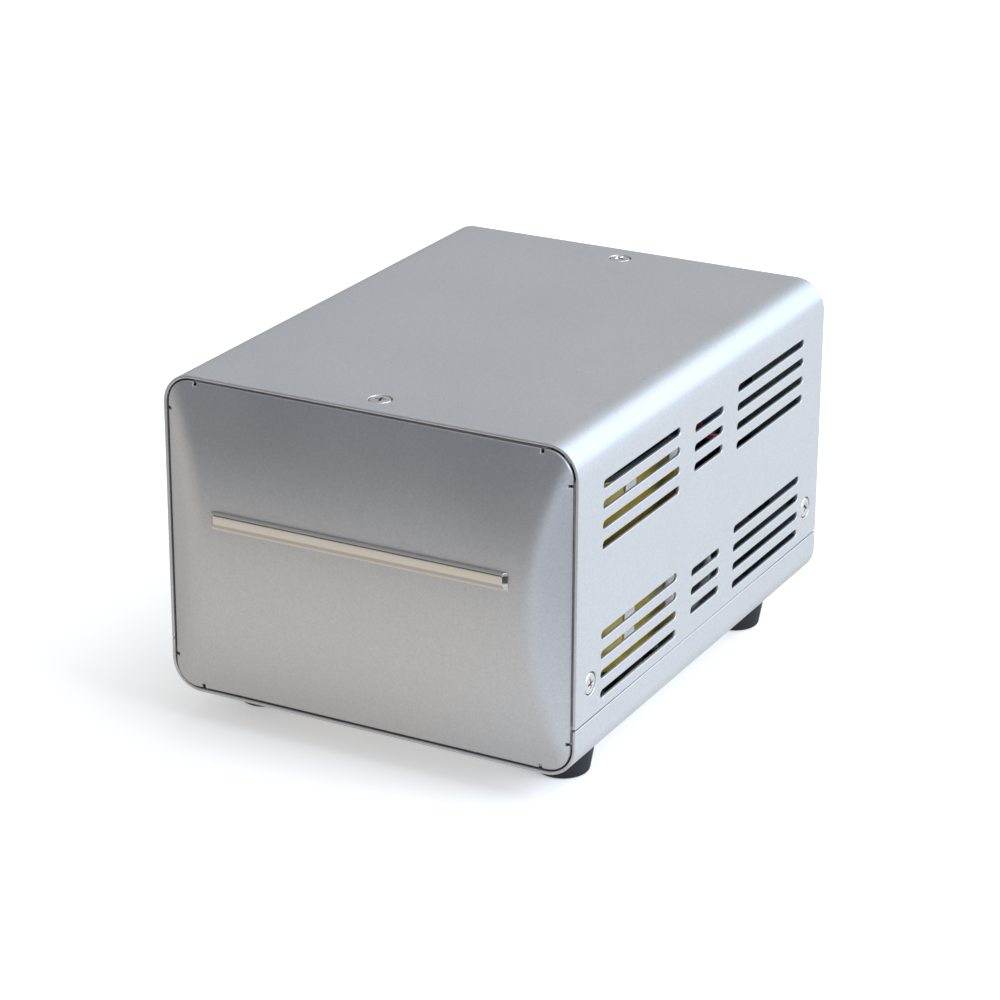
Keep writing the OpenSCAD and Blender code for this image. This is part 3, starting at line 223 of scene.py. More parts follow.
silverPaint = makeSilverPaint()
brightBar = makeBrightBar()
zincPlate = makePlated("zincPlate", ("cdcbcb", "f0eeed"))
dullZinc = makePlated("dullZinc", ("7d8083", "a9abac"), (0.3, 0.5))
brassStrip = makePlated("stampedBrass", ("8f7434", "c8aa5c"))
copperWire = makePlated("enamelledCopper", ("7d3f1c", "b8683a"), (0.25, 0.4))
blackRubber = makeMoulded("blackRubber", ("0a0c13", "1a1e2a"), (0.5, 0.7), 0.6, 0.02)
blackPlastic = makeMoulded("blackNylon", ("161617", "262628"), (0.36, 0.5))
rockerPlastic = makeMoulded("rockerPolycarbonate", ("121213", "1d1d1f"), (0.22, 0.34), 0.7, 0.005)
whitePlastic = makeMoulded("whiteNylon", ("dcdbd4", "ecebe6"), (0.3, 0.42), 0.6, 0.006)
ivoryPlastic = makeMoulded("ivoryPhenolic", ("cfc7ae", "e2dcc6"), (0.35, 0.5))
# black bobbin: its near-black colour is painted shade, standing in for the dark over the coil seen through the upper
# slots
spoolShadeBlack = makeMoulded("darkSpoolAsShade", ("18191d", "2a2b30"), (0.35, 0.5))
markInk = makeMoulded("whiteMark", ("d9d9d6", "f0f0ee"), (0.45, 0.6), 0.3, 0.004)
sheathColours = dict(blue=("16307e", "2748a8"), red=("7c1410", "a8241c"), white=("d5d4cc", "ecebe4"),
                     black=("131313", "232323"), brown=("3f2212", "5c361e"), green=("3b7a1c", "5b9a2c"))
sheaths = {hue: makeMoulded(hue + "Pvc", pair, (0.3, 0.45), 1.2) for hue, pair in sheathColours.items()}
laminations = makeLaminations()
coilTape = makeCoilTape()
wovenTape = makeWovenTape()
print("materials made:", len(bpy.data.materials))


# quads between neighbouring rows of a grid whose last column joins the first; along joins its last row to the first
def gridFaces(rows, cols, along=False):
    i, j = np.meshgrid(np.arange(rows if along else rows - 1), np.arange(cols), indexing="ij")
    k = (i + 1) % rows
    m = (j + 1) % cols
    return np.stack([i * cols + j, i * cols + m, k * cols + m, k * cols + j], -1).reshape(-1, 4)


# faces of a solid of rings: the quads between them, and one face each that shuts the first and the last ring
def ringFaces(rows, cols, start=0):
    first = np.arange(start, start + cols)
    caps = [first[::-1].tolist(), (first + (rows - 1) * cols).tolist()]
    return (gridFaces(rows, cols) + start).tolist() + caps


# angles of a full turn in equal steps
def fullTurn(steps):
    return np.linspace(0.0, 2 * math.pi, steps, endpoint=False)


# closed rounded rectangle about a middle: four corner centres, each with a quarter turn about it
def roundRect(width, height, radius, steps=6, middle=(0.0, 0.0)):
    quarter = np.repeat(np.arange(4), steps + 1) * math.pi / 2
    turn = quarter + np.tile(np.linspace(0.0, math.pi / 2, steps + 1), 4)
    x = np.sign(np.cos(quarter + math.pi / 4)) * (width / 2 - radius) + radius * np.cos(turn)
    y = np.sign(np.sin(quarter + math.pi / 4)) * (height / 2 - radius) + radius * np.sin(turn)
    return np.stack([x + middle[0], y + middle[1]], -1)


# circle about a middle: the rounded rectangle that is all corner
def circle(radius, steps, middle):
    return roundRect(2 * radius, 2 * radius, radius, steps, middle)


# a closed line walked again in equal steps: places at equal shares of its whole length
def evenLoop(loop, count):
    shut = np.vstack([loop, loop[:1]])
    gone = np.concatenate([[0.0], np.cumsum(np.hypot(*np.diff(shut, axis=0).T))])
    at = np.linspace(0.0, gone[-1], count, endpoint=False)
    return np.stack([np.interp(at, gone, shut[:, 0]), np.interp(at, gone, shut[:, 1])], -1)


# outward unit normals of a closed line walked against the clock: its tangent turned a quarter to the right
def loopNormals(loop):
    tangent = np.roll(loop, -1, 0) - np.roll(loop, 1, 0)
    tangent = tangent / np.maximum(np.hypot(tangent[:, 0], tangent[:, 1]), 1e-9)[:, None]
    return np.stack([tangent[:, 1], -tangent[:, 0]], -1)


# mesh of one or more grids in case millimetres
def arrayMesh(points, faces):
    mesh = bpy.data.meshes.new("grid")
    mesh.from_pydata(toScene(np.reshape(points, (-1, 3))).tolist(), [], faces)
    return mesh


# closed solid of rings of equal length
def ringMesh(rings):
    return arrayMesh(rings, ringFaces(*rings.shape[:2]))


# closed tube: a grid that joins itself both ways
def tubeMesh(grid):
    return arrayMesh(grid, gridFaces(*grid.shape[:2], True).tolist())


# gives a mesh its name, object, finish and body; faces are smooth, edges past an angle sharp, normals outward
def addPiece(name, mesh, finish, replaced=(), body="case", sharp=35.0, bevel=0.0):
    work = bmesh.new()
    work.from_mesh(mesh)
    bmesh.ops.recalc_face_normals(work, faces=work.faces)
    work.to_mesh(mesh)
    work.free()
    mesh.polygons.foreach_set("use_smooth", np.ones(len(mesh.polygons), bool))
    mesh.set_sharp_from_angle(angle=math.radians(sharp))
    mesh.name = name
    mesh.materials.clear()
    mesh.materials.append(finish)
    obj = bpy.data.objects.new(name, mesh)
    bpy.context.scene.collection.objects.link(obj)
    if bevel > 0.0:
        soft = obj.modifiers.new("softEdges", "BEVEL")
        soft.width = bevel * mm
        soft.segments = 2
        soft.limit_method = "ANGLE"
        soft.angle_limit = math.radians(sharp)
    even = obj.modifiers.new("evenNormals", "WEIGHTED_NORMAL")
    even.keep_sharp = bevel == 0.0
    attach(obj, body)
    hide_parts(*replaced)
    return obj


# flat sheet with holes in (u, v, w): loops filled between w = -thickness and 0, their edges rounded by a small
# radius, whole faces merged, then cut along lines of u and of v so that the sheet can bend there
def cutSheet(loops, thickness=case["sheet"], edge=case["edge"], cutsU=(), cutsV=()):
    near = 1e-4
    curve = bpy.data.curves.new("sheet", "CURVE")
    curve.dimensions = "2D"
    curve.fill_mode = "BOTH"
    curve.extrude = thickness / 2 - edge
    curve.bevel_depth = edge
    curve.bevel_resolution = 2
    curve.offset = -edge
    for loop in loops:
        spline = curve.splines.new("POLY")
        spline.points.add(len(loop) - 1)
        places = np.column_stack([loop, np.zeros(len(loop)), np.ones(len(loop))])
        spline.points.foreach_set("co", places.ravel())
        spline.use_cyclic_u = True
    obj = bpy.data.objects.new("sheet", curve)
    bpy.context.scene.collection.objects.link(obj)
    mesh = bpy.data.meshes.new_from_object(obj.evaluated_get(bpy.context.evaluated_depsgraph_get()))
    bpy.data.objects.remove(obj)
    bpy.data.curves.remove(curve)
    work = bmesh.new()
    work.from_mesh(mesh)
    bmesh.ops.remove_doubles(work, verts=work.verts, dist=near)
    bmesh.ops.dissolve_limit(work, angle_limit=0.01, verts=work.verts, edges=work.edges)
    for axis, cuts in ((0, cutsU), (1, cutsV)):
        for cut in cuts:
            bmesh.ops.bisect_plane(work, geom=work.verts[:] + work.edges[:] + work.faces[:], dist=near,
                                   plane_co=(cut, cut, 0.0), plane_no=(1.0 - axis, float(axis), 0.0))
    bmesh.ops.translate(work, verts=work.verts, vec=(0.0, 0.0, -thickness / 2))
    work.to_mesh(mesh)
    work.free()
    return mesh


# carries a flat sheet's points (u, v, w) to their places by a shape function of whole arrays
def bend(mesh, shape):
    flat = np.empty(len(mesh.vertices) * 3)
    mesh.vertices.foreach_get("co", flat)
    mesh.vertices.foreach_set("co", toScene(shape(*flat.reshape(-1, 3).T)).ravel())
    mesh.update()
    return mesh


# fold of the case: u runs over the outside from the middle of the top, flat, then round the corner by u over the
# radius, then straight down the side; w goes along the surface normal
def foldOver(u, v, w):
    radius = case["corner"]
    flat = halfWidth - radius
    s = np.abs(u)
    a = np.clip((s - flat) / radius, 0.0, math.pi / 2)
    x = np.minimum(s, flat) + (radius + w) * np.sin(a)
    down = np.maximum(s - flat - radius * math.pi / 2, 0.0)
    z = case["height"] - radius + (radius + w) * np.cos(a) - down
    return np.stack([np.sign(u) * x, v, z], -1)


# the same fold upside down
def foldUnder(u, v, w):
    return foldOver(u, v, w) * [1.0, 1.0, -1.0] + [0.0, 0.0, case["height"]]


# distance over the fold from the middle of the top to a height on the side
def alongFold(z):
    return halfWidth + case["corner"] * (math.pi / 2 - 2) + case["height"] - z


# lines where the fold turns round its corner, on both sides
bendLines = halfWidth - case["corner"] + case["corner"] * np.linspace(0.0, math.pi / 2, 17)
bendLines = np.concatenate([-bendLines, bendLines])

# slot rows of the sides; screws with their places, their flush head, its rim as steps in from the edge with the fall
# of each, their shank and their cross recess, which is darkened brown by rust and painted shade
vents = dict(long=60.0, short=24.0, width=3.0, pitch=7.3, rows=4, column=54.3, upper=90.2, lower=35.4)
screw = dict(inset=11.0, side=32.0, tray=40.0, head=3.75, room=0.42, sink=0.22, crown=0.4, hub=0.04,
             flat=0.25, rim=((0.1, 0.05), (0.0, 0.2)), cone=2.0, shank=1.95, length=7.0, tip=0.6, tipShare=0.7,
             slot=4.0, slotWidth=0.9, slotDepth=1.2, slotWall=0.24, slotRise=0.25, grime=0.9, rings=40, sides=96)
screwDepths = (screw["inset"], case["depth"] - screw["inset"])


# one rounded slot of the side at a place over the fold
def ventLoop(length, u, y):
    return roundRect(vents["width"], length, vents["width"] / 2, 6, (u, y))


# folded cover: top and both sides in one sheet, with the slot groups and the holes for the flush heads
def makeCover():
    half = alongFold(case["seam"] + case["seamGap"] / 2)
    loops = [roundRect(2 * half, case["depth"], case["trim"], 3, (0.0, halfDepth))]
    for y in screwDepths:
        for u in (0.0, -alongFold(screw["side"]), alongFold(screw["side"])):
            loops.append(circle(screw["head"] + screw["room"], 12, (u, y)))
    for z in (vents["upper"], vents["lower"]):
        for k in range(vents["rows"]):
            u = alongFold(z + (k - (vents["rows"] - 1) / 2) * vents["pitch"])
            for side in (-1, 1):
                for y in (halfDepth - vents["column"], halfDepth + vents["column"]):
                    loops.append(ventLoop(vents["long"], side * u, y))
        for k in range(vents["rows"] - 1):
            u = alongFold(z + (k - (vents["rows"] - 2) / 2) * vents["pitch"])
            for side in (-1, 1):
                loops.append(ventLoop(vents["short"], side * u, halfDepth))
    mesh = bend(cutSheet(loops, cutsU=bendLines), foldOver)
    addPiece("cover", mesh, silverPaint, ["top_cover"])


# folded tray: the same fold upside down as far as the seam, which it closes by half a sine along the depth on the
# right and evenly on the left, and a lapping strip inside each side
tray = dict(lapLow=8.6, lapHigh=21.6, lapFront=42.0, lapRoom=0.3, bow=0.36, left=0.45, cuts=16)


def makeTray():
    half = alongFold(case["height"] - case["seam"] + case["seamGap"] / 2)
    loops = [roundRect(2 * half, case["depth"], case["trim"], 3, (0.0, halfDepth))]
    for y in screwDepths:
        for x in (-screw["tray"], screw["tray"]):
            loops.append(circle(screw["head"] + screw["room"], 12, (x, y)))
    cutsY = np.linspace(0.0, case["depth"], tray["cuts"] + 1)[1:-1]
    mesh = cutSheet(loops, cutsU=bendLines, cutsV=cutsY)
    start = bendLines.max()

    def shape(u, v, w):
        rise = np.maximum(np.abs(u) - start, 0.0) / (half - start)
        close = np.where(u < 0.0, tray["left"], tray["bow"] * np.sin(math.pi * v / case["depth"]))
        return foldUnder(u + np.sign(u) * rise * close, v, w)

    bend(mesh, shape)
    addPiece("tray", mesh, silverPaint, ["bottom_tray"])
    reach = halfWidth - case["sheet"] - tray["lapRoom"]
    size = (case["depth"] - 2 * tray["lapFront"], tray["lapHigh"] - tray["lapLow"])
    middle = (halfDepth, (tray["lapHigh"] + tray["lapLow"]) / 2)
    for name, side in (("lapLeft", -1), ("lapRight", 1)):
        strip = cutSheet([roundRect(*size, 1.0, 4, middle)])
        bend(strip, lambda u, v, w: np.stack([side * (reach + w), u, v], -1))
        addPiece(name, strip, silverPaint, ["bottom_tray"])


# front and rear panel: the pillow of the front, the slits beside the corners, the flanges behind, the grid that the
# front is bent on, how it sags in its opening, and its proud corners as a side, a lift and where the lift starts
panel = dict(bulge=6.6, recess=0.4, bevel=26.0, blendLeft=2.8, blendRight=1.5, tighter=0.4,
             slitWidth=1.2, slitSide=0.9, slitDepth=1.6, slitInset=13.2,
             flangeFront=1.2, flangeBack=16.8, rearFront=189.2, flangeHole=0.5, edge=0.45,
             gridX=2.6, gridEnd=0.9, endFrom=62.0, gridZ=2.0, gridLow=4.7, gridHigh=4.0,
             sag=(-0.15, -0.12), proud=((1.0, 0.7, 0.3), (-1.0, 0.85, 0.8)))
rimWidth = case["sheet"] + case["panelGap"]
panelHalf = (halfWidth - rimWidth, halfHeight - rimWidth)
panelCorner = case["corner"] - rimWidth - panel["tighter"]
slitAt = (halfWidth - panel["slitInset"], halfHeight - panel["slitInset"])
# radius of the arc that rises by the bulge over half the panel's height
bulgeRadius = (panelHalf[1] ** 2 + panel["bulge"] ** 2) / (2 * panel["bulge"])


# outline shared by both panels: one corner walked against the clock with a slit on both its sides, then turned and
# mirrored to the other three about the panel's middle
def panelOutline():
    a, b = panelHalf
    d, h, k = panel["slitDepth"], panel["slitWidth"] / 2, panel["slitSide"] / 2
    upright = [[a, slitAt[1] - k], [a - d, slitAt[1] - k], [a - d, slitAt[1] + k], [a, slitAt[1] + k]]
    level = [[slitAt[0] + h, b], [slitAt[0] + h, b - d], [slitAt[0] - h, b - d], [slitAt[0] - h, b]]
    t = np.linspace(0.0, math.pi / 2, 13)
    arc = np.stack([a - panelCorner + panelCorner * np.cos(t), b - panelCorner + panelCorner * np.sin(t)], -1)
    corner = np.vstack([upright, arc, level])
    other = corner[::-1] * [-1.0, 1.0]
    return np.vstack([corner, other, -corner, -other]) + [0.0, halfHeight]


# depth of the pressed front: the larger of an upright arc over the height and of a straight slope towards each
# end, joined by a smooth maximum that adds k / 4 (1 - |difference| / k) squared inside its blend k
def pillowDepth(x, z):
    up = np.minimum(np.abs(z - halfHeight), panelHalf[1])
    arc = panel["recess"] - panel["bulge"] + bulgeRadius - np.sqrt(bulgeRadius ** 2 - up ** 2)
    slope = panel["recess"] - (panelHalf[0] - np.abs(x)) * math.tan(math.radians(panel["bevel"]))
    k = np.where(x < 0.0, panel["blendLeft"], panel["blendRight"])
    return np.maximum(arc, slope) + k / 4 * np.maximum(1.0 - np.abs(arc - slope) / k, 0.0) ** 2


# pressed front panel: the outline's sheet carried to the pillow's depth; it sits a little low and left in its
# opening, and its upper right and lower left corner stand proud by the square of the nearness to them
def makeFrontPanel():
    fine = np.arange(panel["endFrom"], panelHalf[0] - panel["gridEnd"] / 2, panel["gridEnd"])
    coarse = np.arange(-panel["endFrom"], panel["endFrom"], panel["gridX"])[1:]
    cutsX = np.concatenate([-fine, coarse, fine])
    cutsZ = np.arange(panel["gridLow"], case["height"] - panel["gridHigh"], panel["gridZ"])
    mesh = cutSheet([panelOutline()], edge=panel["edge"], cutsU=cutsX, cutsV=cutsZ)
    x, z = panel["sag"]

    def shape(u, v, w):
        near = (u / panelHalf[0] + (v - halfHeight) / panelHalf[1]) / 2
        lift = sum(most * (np.maximum(side * near - start, 0.0) / (1.0 - start)) ** 2
                   for side, most, start in panel["proud"])
        return np.stack([u + x, pillowDepth(u, v) - w - lift, v + z], -1)

    bend(mesh, shape)
    addPiece("frontPanel", mesh, silverPaint, ["front_panel"])


# flat rear plate with the openings for its devices, each a little larger than the body behind it
rear = dict(lowRow=40.0, highRow=85.0, inletX=46.0, rockerX=6.0, breakerX=-44.0, flatX=37.0, roundX=-36.0, bush=5.8,
            inlet=(33.4, 26.6), rocker=(23.0, 30.0), flat=(33.6, 25.6), round=21.8)


def makeRearPanel():
    loops = [panelOutline(),
             roundRect(*rear["inlet"], 1.0, 3, (rear["inletX"], rear["lowRow"])),
             roundRect(*rear["rocker"], 1.0, 3, (rear["rockerX"], rear["lowRow"])),
             circle(rear["bush"], 12, (rear["breakerX"], rear["lowRow"])),
             roundRect(*rear["flat"], 1.0, 3, (rear["flatX"], rear["highRow"])),
             circle(rear["round"], 16, (rear["roundX"], rear["highRow"]))]
    mesh = cutSheet(loops)
    bend(mesh, lambda u, v, w: np.stack([u, case["rearY"] + w, v], -1))
    addPiece("rearPanel", mesh, silverPaint, ["rear_panel"])


# four flanges behind one panel: flat strips with screw holes, from one depth to another
def makeFlanges(name, front, back, replaced):
    reach = np.array(slitAt) + panel["slitWidth"]
    middle = (front + back) / 2
    depth = screwDepths[0] if middle < halfDepth else screwDepths[1]
    places = dict(Top=[0.0], Bottom=[-screw["tray"], screw["tray"]], Left=[screw["side"]], Right=[screw["side"]])
    for part, at in places.items():
        upright = part in ("Left", "Right")
        half = reach[1] if upright else reach[0]
        centre = halfHeight if upright else 0.0
        loops = [roundRect(2 * half, back - front, 1.2, 4, (centre, middle))]
        loops += [circle(screw["shank"] + panel["flangeHole"], 8, (place, depth)) for place in at]
        strip = cutSheet(loops)
        side = 1.0 if part in ("Top", "Right") else -1.0
        if upright:
            bend(strip, lambda u, v, w: np.stack([side * (panelHalf[0] + w), v, u], -1))
        else:
            bend(strip, lambda u, v, w: np.stack([u, v, halfHeight + side * (panelHalf[1] + w)], -1))
        addPiece(name + part, strip, silverPaint, replaced)


makeCover()
makeTray()
makeFrontPanel()
makeFlanges("frontFlange", panel["flangeFront"], panel["flangeBack"], ["front_panel"])
makeRearPanel()
makeFlanges("rearFlange", panel["rearFront"], case["rearY"] - case["sheet"], ["rear_flanges"])
print("sheet metal made")

# bare bar on the bulge: its section as places up the bulge and heights over it, from a steep upper facet over a
# crown that falls away downwards to a narrow lip; its ends as distances from the end and shares of the height
bar = dict(width=116.8, z=70.7, stub=0.2, draw=0.04,
           up=(3.3, 3.3, 3.26, 3.2, 2.75, 2.62, 2.5, 2.2, 1.6, 0.9, 0.3, -0.2, -0.6, -0.9, -1.2, -1.7, -2.25, -2.8,
               -2.88, -2.96, -3.2, -3.27, -3.3, -3.3),
           out=(0.0, 0.55, 0.66, 0.78, 1.62, 1.74, 1.77, 1.79, 1.8, 1.79, 1.77, 1.73, 1.65, 1.53, 1.33, 0.97, 0.59,
                0.25, 0.23, 0.24, 0.24, 0.22, 0.16, 0.0),
           end=(0.0, 0.05, 1.4, 1.55, 1.75), share=(0.0, 0.05, 0.9, 0.97, 1.0))


# the section carried along the tangent plane of the bulge; towards both ends its heights fall in a straight bevel
# to a stub and it is drawn in a little
def makeBar():
    tilt = math.asin((bar["z"] - halfHeight) / bulgeRadius)
    c, s = math.cos(tilt), math.sin(tilt)
    seat = np.array([0.0, panel["recess"] - panel["bulge"] + bulgeRadius * (1 - c), bar["z"]])
    x = bar["width"] / 2 - np.array(bar["end"])
    x = np.concatenate([-x, x[::-1]])[:, None]
    full = np.concatenate([bar["share"], bar["share"][::-1]])[:, None]
    up = np.array(bar["up"]) * (1.0 - bar["draw"] * (1.0 - full))
    out = np.array(bar["out"]) * (bar["stub"] + (1.0 - bar["stub"]) * full)
    rings = seat + np.stack([x + 0 * up, up * s - out * c, up * c + out * s], -1)
    addPiece("nameBar", ringMesh(rings), brightBar, ["name_bar"], sharp=60.0)


# flush screws of one face: a polar grid, r from the middle to the rim over a shallow crown less a cross recess
# with soft walls, then the cone back to the shank and the shank to its end, all sunk a little below the sheet
def makeScrews(name, places, out, side, turns, replaced):
    out, side = np.array(out, float), np.array(side, float)
    third = np.cross(out, side)
    head, shank, rings, sides = screw["head"], screw["shank"], screw["rings"], screw["sides"]
    inward, fall = np.array(screw["rim"]).T
    r = np.concatenate([np.linspace(screw["hub"], head - screw["flat"], rings), head - inward,
                        [shank, shank, shank * screw["tipShare"]]])
    drop = np.concatenate([np.zeros(rings), fall,
                           [screw["cone"], screw["length"] - screw["tip"], screw["length"]]])
    onHead = np.arange(len(r)) < rings + len(fall)
    crown = np.where(onHead, screw["crown"] * (1.0 - (np.minimum(r, head) / head) ** 2), 0.0)
    t = fullTurn(sides)
    x = r[:, None] * np.cos(t)
    y = r[:, None] * np.sin(t)
    half, wide = screw["slot"] / 2, screw["slotWidth"] / 2
    floor = screw["slotDepth"] * (1.0 - screw["slotRise"] * np.minimum(r[:, None], half))
    points, faces, grime = [], [], []
    for place, turn in zip(places, turns):
        across = np.abs(x * math.cos(turn) + y * math.sin(turn))
        up = np.abs(y * math.cos(turn) - x * math.sin(turn))
        gap = np.minimum(np.maximum(across - half, up - wide), np.maximum(up - half, across - wide))
        soft = np.clip(0.5 - gap / screw["slotWall"], 0.0, 1.0)
        soft = np.where(onHead[:, None], soft ** 2 * (3 - 2 * soft), 0.0)
        height = (crown - drop - screw["sink"])[:, None] - floor * soft
        faces += ringFaces(len(r), sides, len(points) * len(r) * sides)
        points.append(np.array(place) + x[..., None] * side + y[..., None] * third + height[..., None] * out)
        # the cross recess is darkened in colour: rust, and painted shade where the recess lies in shade
        grime.append(screw["grime"] * soft)
    mesh = arrayMesh(points, faces)
    layer = mesh.attributes.new("grime", "FLOAT", "POINT")
    layer.data.foreach_set("value", np.array(grime, np.float32).ravel())
    addPiece(name, mesh, zincPlate, replaced, sharp=32.0)


# turned rubber foot: a closed outline of radius and height carried round, with a well for its screw
foot = dict(x=61.0, front=30.4, top=11.6, brim=0.5, low=9.8, edge=1.4, well=4.8, chamfer=0.3, web=4.0, hole=2.3,
            sides=96)


def makeFeet():
    q = np.linspace(0.0, math.pi / 2, 9)
    e, b, low = foot["edge"], foot["brim"], -case["footHeight"]
    rim = np.stack([foot["low"] - e + e * np.cos(q), low + e - e * np.sin(q)], -1)
    brim = np.stack([foot["top"] - b + b * np.sin(q[::2]), -b + b * np.cos(q[::2])], -1)
    inner = [[foot["well"] + foot["chamfer"], low], [foot["well"], low + foot["chamfer"]],
             [foot["well"], -foot["web"]], [foot["hole"], -foot["web"]], [foot["hole"], 0.0]]
    outline = np.vstack([brim, rim, inner])
    r, h = outline[:, :1], outline[:, 1:]
    t = fullTurn(foot["sides"])
    back = case["depth"] - foot["front"]
    for node, side, y in (("foot_front_left", -1, foot["front"]), ("foot_front_right", 1, foot["front"]),
                          ("foot_rear_left", -1, back), ("foot_rear_right", 1, back)):
        grid = np.stack([side * foot["x"] + r * np.cos(t), y + r * np.sin(t), h + 0 * t], -1)
        addPiece(camel(node), tubeMesh(grid), blackRubber, [node], sharp=40.0)


makeBar()
makeScrews("topScrews", [(0.0, y, case["height"]) for y in screwDepths], (0, 0, 1), (1, 0, 0), (0.35, 1.1),
           ["top_screws"])
makeScrews("rightScrews", [(halfWidth, y, screw["side"]) for y in screwDepths], (1, 0, 0), (0, 1, 0),
           (0.2, 0.9), ["side_screws"])
makeScrews("leftScrews", [(-halfWidth, y, screw["side"]) for y in screwDepths], (-1, 0, 0), (0, 1, 0),
           (0.6, 1.3), ["side_screws"])
makeScrews("trayScrews", [(x, y, 0.0) for x in (-screw["tray"], screw["tray"]) for y in screwDepths], (0, 0, -1),
           (1, 0, 0), (0.1, 0.8, 1.2, 0.5), ["tray_screws"])
makeFeet()
print("bar, screws and feet made")

# taped coil: its outside half sizes, corner and heights, the turns of its wrap, its tie tapes and its outer belts
coil = dict(x=71.5, y=37.5, corner=12.0, middle=76.0, low=24.3, high=91.3,
            wrap=0.8, turn=17.0, overlap=0.28, ripple=0.1, wrapRows=70, wrapSteps=320,
            tapeWidth=8.0, tapeAt=17.0, tapeThick=0.4, tapeLow=22.1, tapeHigh=91.2, tapeRows=60,
            belts=(("coilBelt", 46.0, 82.0), ("coilBeltLow", 20.4, 27.2)), beltLift=0.2, beltOver=0.55,
            beltRipple=0.05, beltTuck=0.3, beltSway=0.5, beltRows=40, beltSteps=480)


# the coil's outline from above in equal steps, its normals and each step's share of a whole round as an angle
def coilOutline(steps):
    loop = evenLoop(roundRect(2 * coil["x"], 2 * coil["y"], coil["corner"], 12), steps)
    return loop, loopNormals(loop), np.arange(steps) / steps * 2 * math.pi


# rings round the coil: the outline moved out by a lift at each height, with a first and a last ring more that tuck
# both edges in
def coilRings(name, loop, normal, lift, z, tuck):
    tucked = np.full((1, len(loop)), -tuck)
    lift = np.vstack([tucked, lift, tucked])
    flat = loop + lift[..., None] * normal
    grid = np.stack([flat[..., 0], flat[..., 1] + coil["middle"], np.vstack([z[:1], z, z[-1:]])], -1)
    addPiece(name, tubeMesh(grid), coilTape, ["coil_wrap"], sharp=50.0)


# outside of the wrap: the outline moved in by a saw of the tape's turns that climb round the coil and by two crossed
# slow waves; its edges run back to each other inside the wrap
def makeCoilWrap():
    loop, normal, angle = coilOutline(coil["wrapSteps"])
    z = np.linspace(coil["low"], coil["high"], coil["wrapRows"])[:, None]
    climb = ((z - coil["low"]) / coil["turn"] - angle / (2 * math.pi)) % 1.0
    wave = np.sin(angle * 13 + 2.0 * np.sin(z / 9.0)) * np.sin(z / 5.3 + 4.0 * np.sin(angle * 3))
    lift = -coil["overlap"] * climb - coil["ripple"] * (1.0 + wave)
    coilRings("coilWrap", loop, normal, lift, z + 0 * lift, coil["wrap"])


# outer belt of tape round the coil: the same outline, lifted a little and more where a tie tape lies below it, with
# slow waves in its lift and its height, its upper and lower edge turned in to the coil
def makeCoilBelt(name, low, high):
    loop, normal, angle = coilOutline(coil["beltSteps"])
    z = np.linspace(low, high, coil["beltRows"])[:, None]
    off = np.abs(np.abs(loop[:, 1]) - coil["tapeAt"]) - coil["tapeWidth"] / 2
    over = np.where(np.abs(loop[:, 0]) > coil["x"] - 0.1, np.clip(1.2 - off / 2.0, 0.0, 1.0), 0.0)
    wave = np.sin(angle * 17 + np.sin(z / 7.0)) * np.sin(z / 4.7 + 3.0 * np.sin(angle * 5))
    lift = coil["beltLift"] + coil["beltOver"] * over ** 2 * (3 - 2 * over) + coil["beltRipple"] * wave
    coilRings(name, loop, normal, lift, z + coil["beltSway"] * np.sin(angle * 4), coil["beltTuck"])


# tie tapes: the rounded section of a tape carried up the coil's wall with a slight wave
def makeTieTapes():
    section = roundRect(coil["tapeThick"], coil["tapeWidth"], 0.15, 3)
    z = np.linspace(coil["tapeLow"], coil["tapeHigh"], coil["tapeRows"])
    out = coil["x"] + coil["tapeThick"] / 2 + 0.04 * (1.0 - np.cos(z / 6.0))
    for name, side, step in (("tapeRightFront", 1, -1), ("tapeRightRear", 1, 1), ("tapeLeftFront", -1, -1),
                             ("tapeLeftRear", -1, 1)):
        x = side * (out[:, None] + section[:, 0])
        y = coil["middle"] + step * coil["tapeAt"] + section[:, 1] + 0.5 * np.sin(z / 14.0 + step)[:, None]
        rings = np.stack([x, y, z[:, None] + 0 * x], -1)
        addPiece(name, ringMesh(rings), wovenTape, ["tie_tapes"], sharp=60.0)


# leads: their radii and steps, and the places of the upper coil flange, the core's rear and the tabs of the devices
lead = dict(radius=1.5, earthRadius=1.3, steps=10, sides=16, coilTop=93.5, coreRear=134.0, flatY=172.4,
            roundY=170.2, rockerY=172.0, inletY=178.2, breakerY=166.8, earthX=4.4, earthY=162.0)


# a smooth curve through stated points (each stretch the cubic of its four nearest points) and a circle carried
# along it, turned by the curve's direction and one side vector
def makeLead(node, points, side, hue, radius=lead["radius"]):
    p = np.array(points, float)
    k = np.repeat(np.arange(len(p) - 1), lead["steps"])
    t = np.tile(np.arange(lead["steps"]) / lead["steps"], len(p) - 1)[:, None]
    a, b, c, d = p[np.maximum(k - 1, 0)], p[k], p[k + 1], p[np.minimum(k + 2, len(p) - 1)]
    path = 0.5 * (2 * b + (c - a) * t + (2 * a - 5 * b + 4 * c - d) * t ** 2 + (3 * b - a - 3 * c + d) * t ** 3)
    path = np.vstack([path, p[-1:]])
    along = np.gradient(path, axis=0)
    along[0], along[-1] = p[1] - p[0], p[-1] - p[-2]
    along = along / np.linalg.norm(along, axis=1)[:, None]
    u = np.cross(along, np.array(side, float))
    u = u / np.linalg.norm(u, axis=1)[:, None]
    v = np.cross(along, u)
    turn = fullTurn(lead["sides"])[:, None]
    rings = path[:, None] + radius * (np.cos(turn) * u[:, None] + np.sin(turn) * v[:, None])
    addPiece(camel(node), ringMesh(rings), sheaths[hue], [node], sharp=50.0)


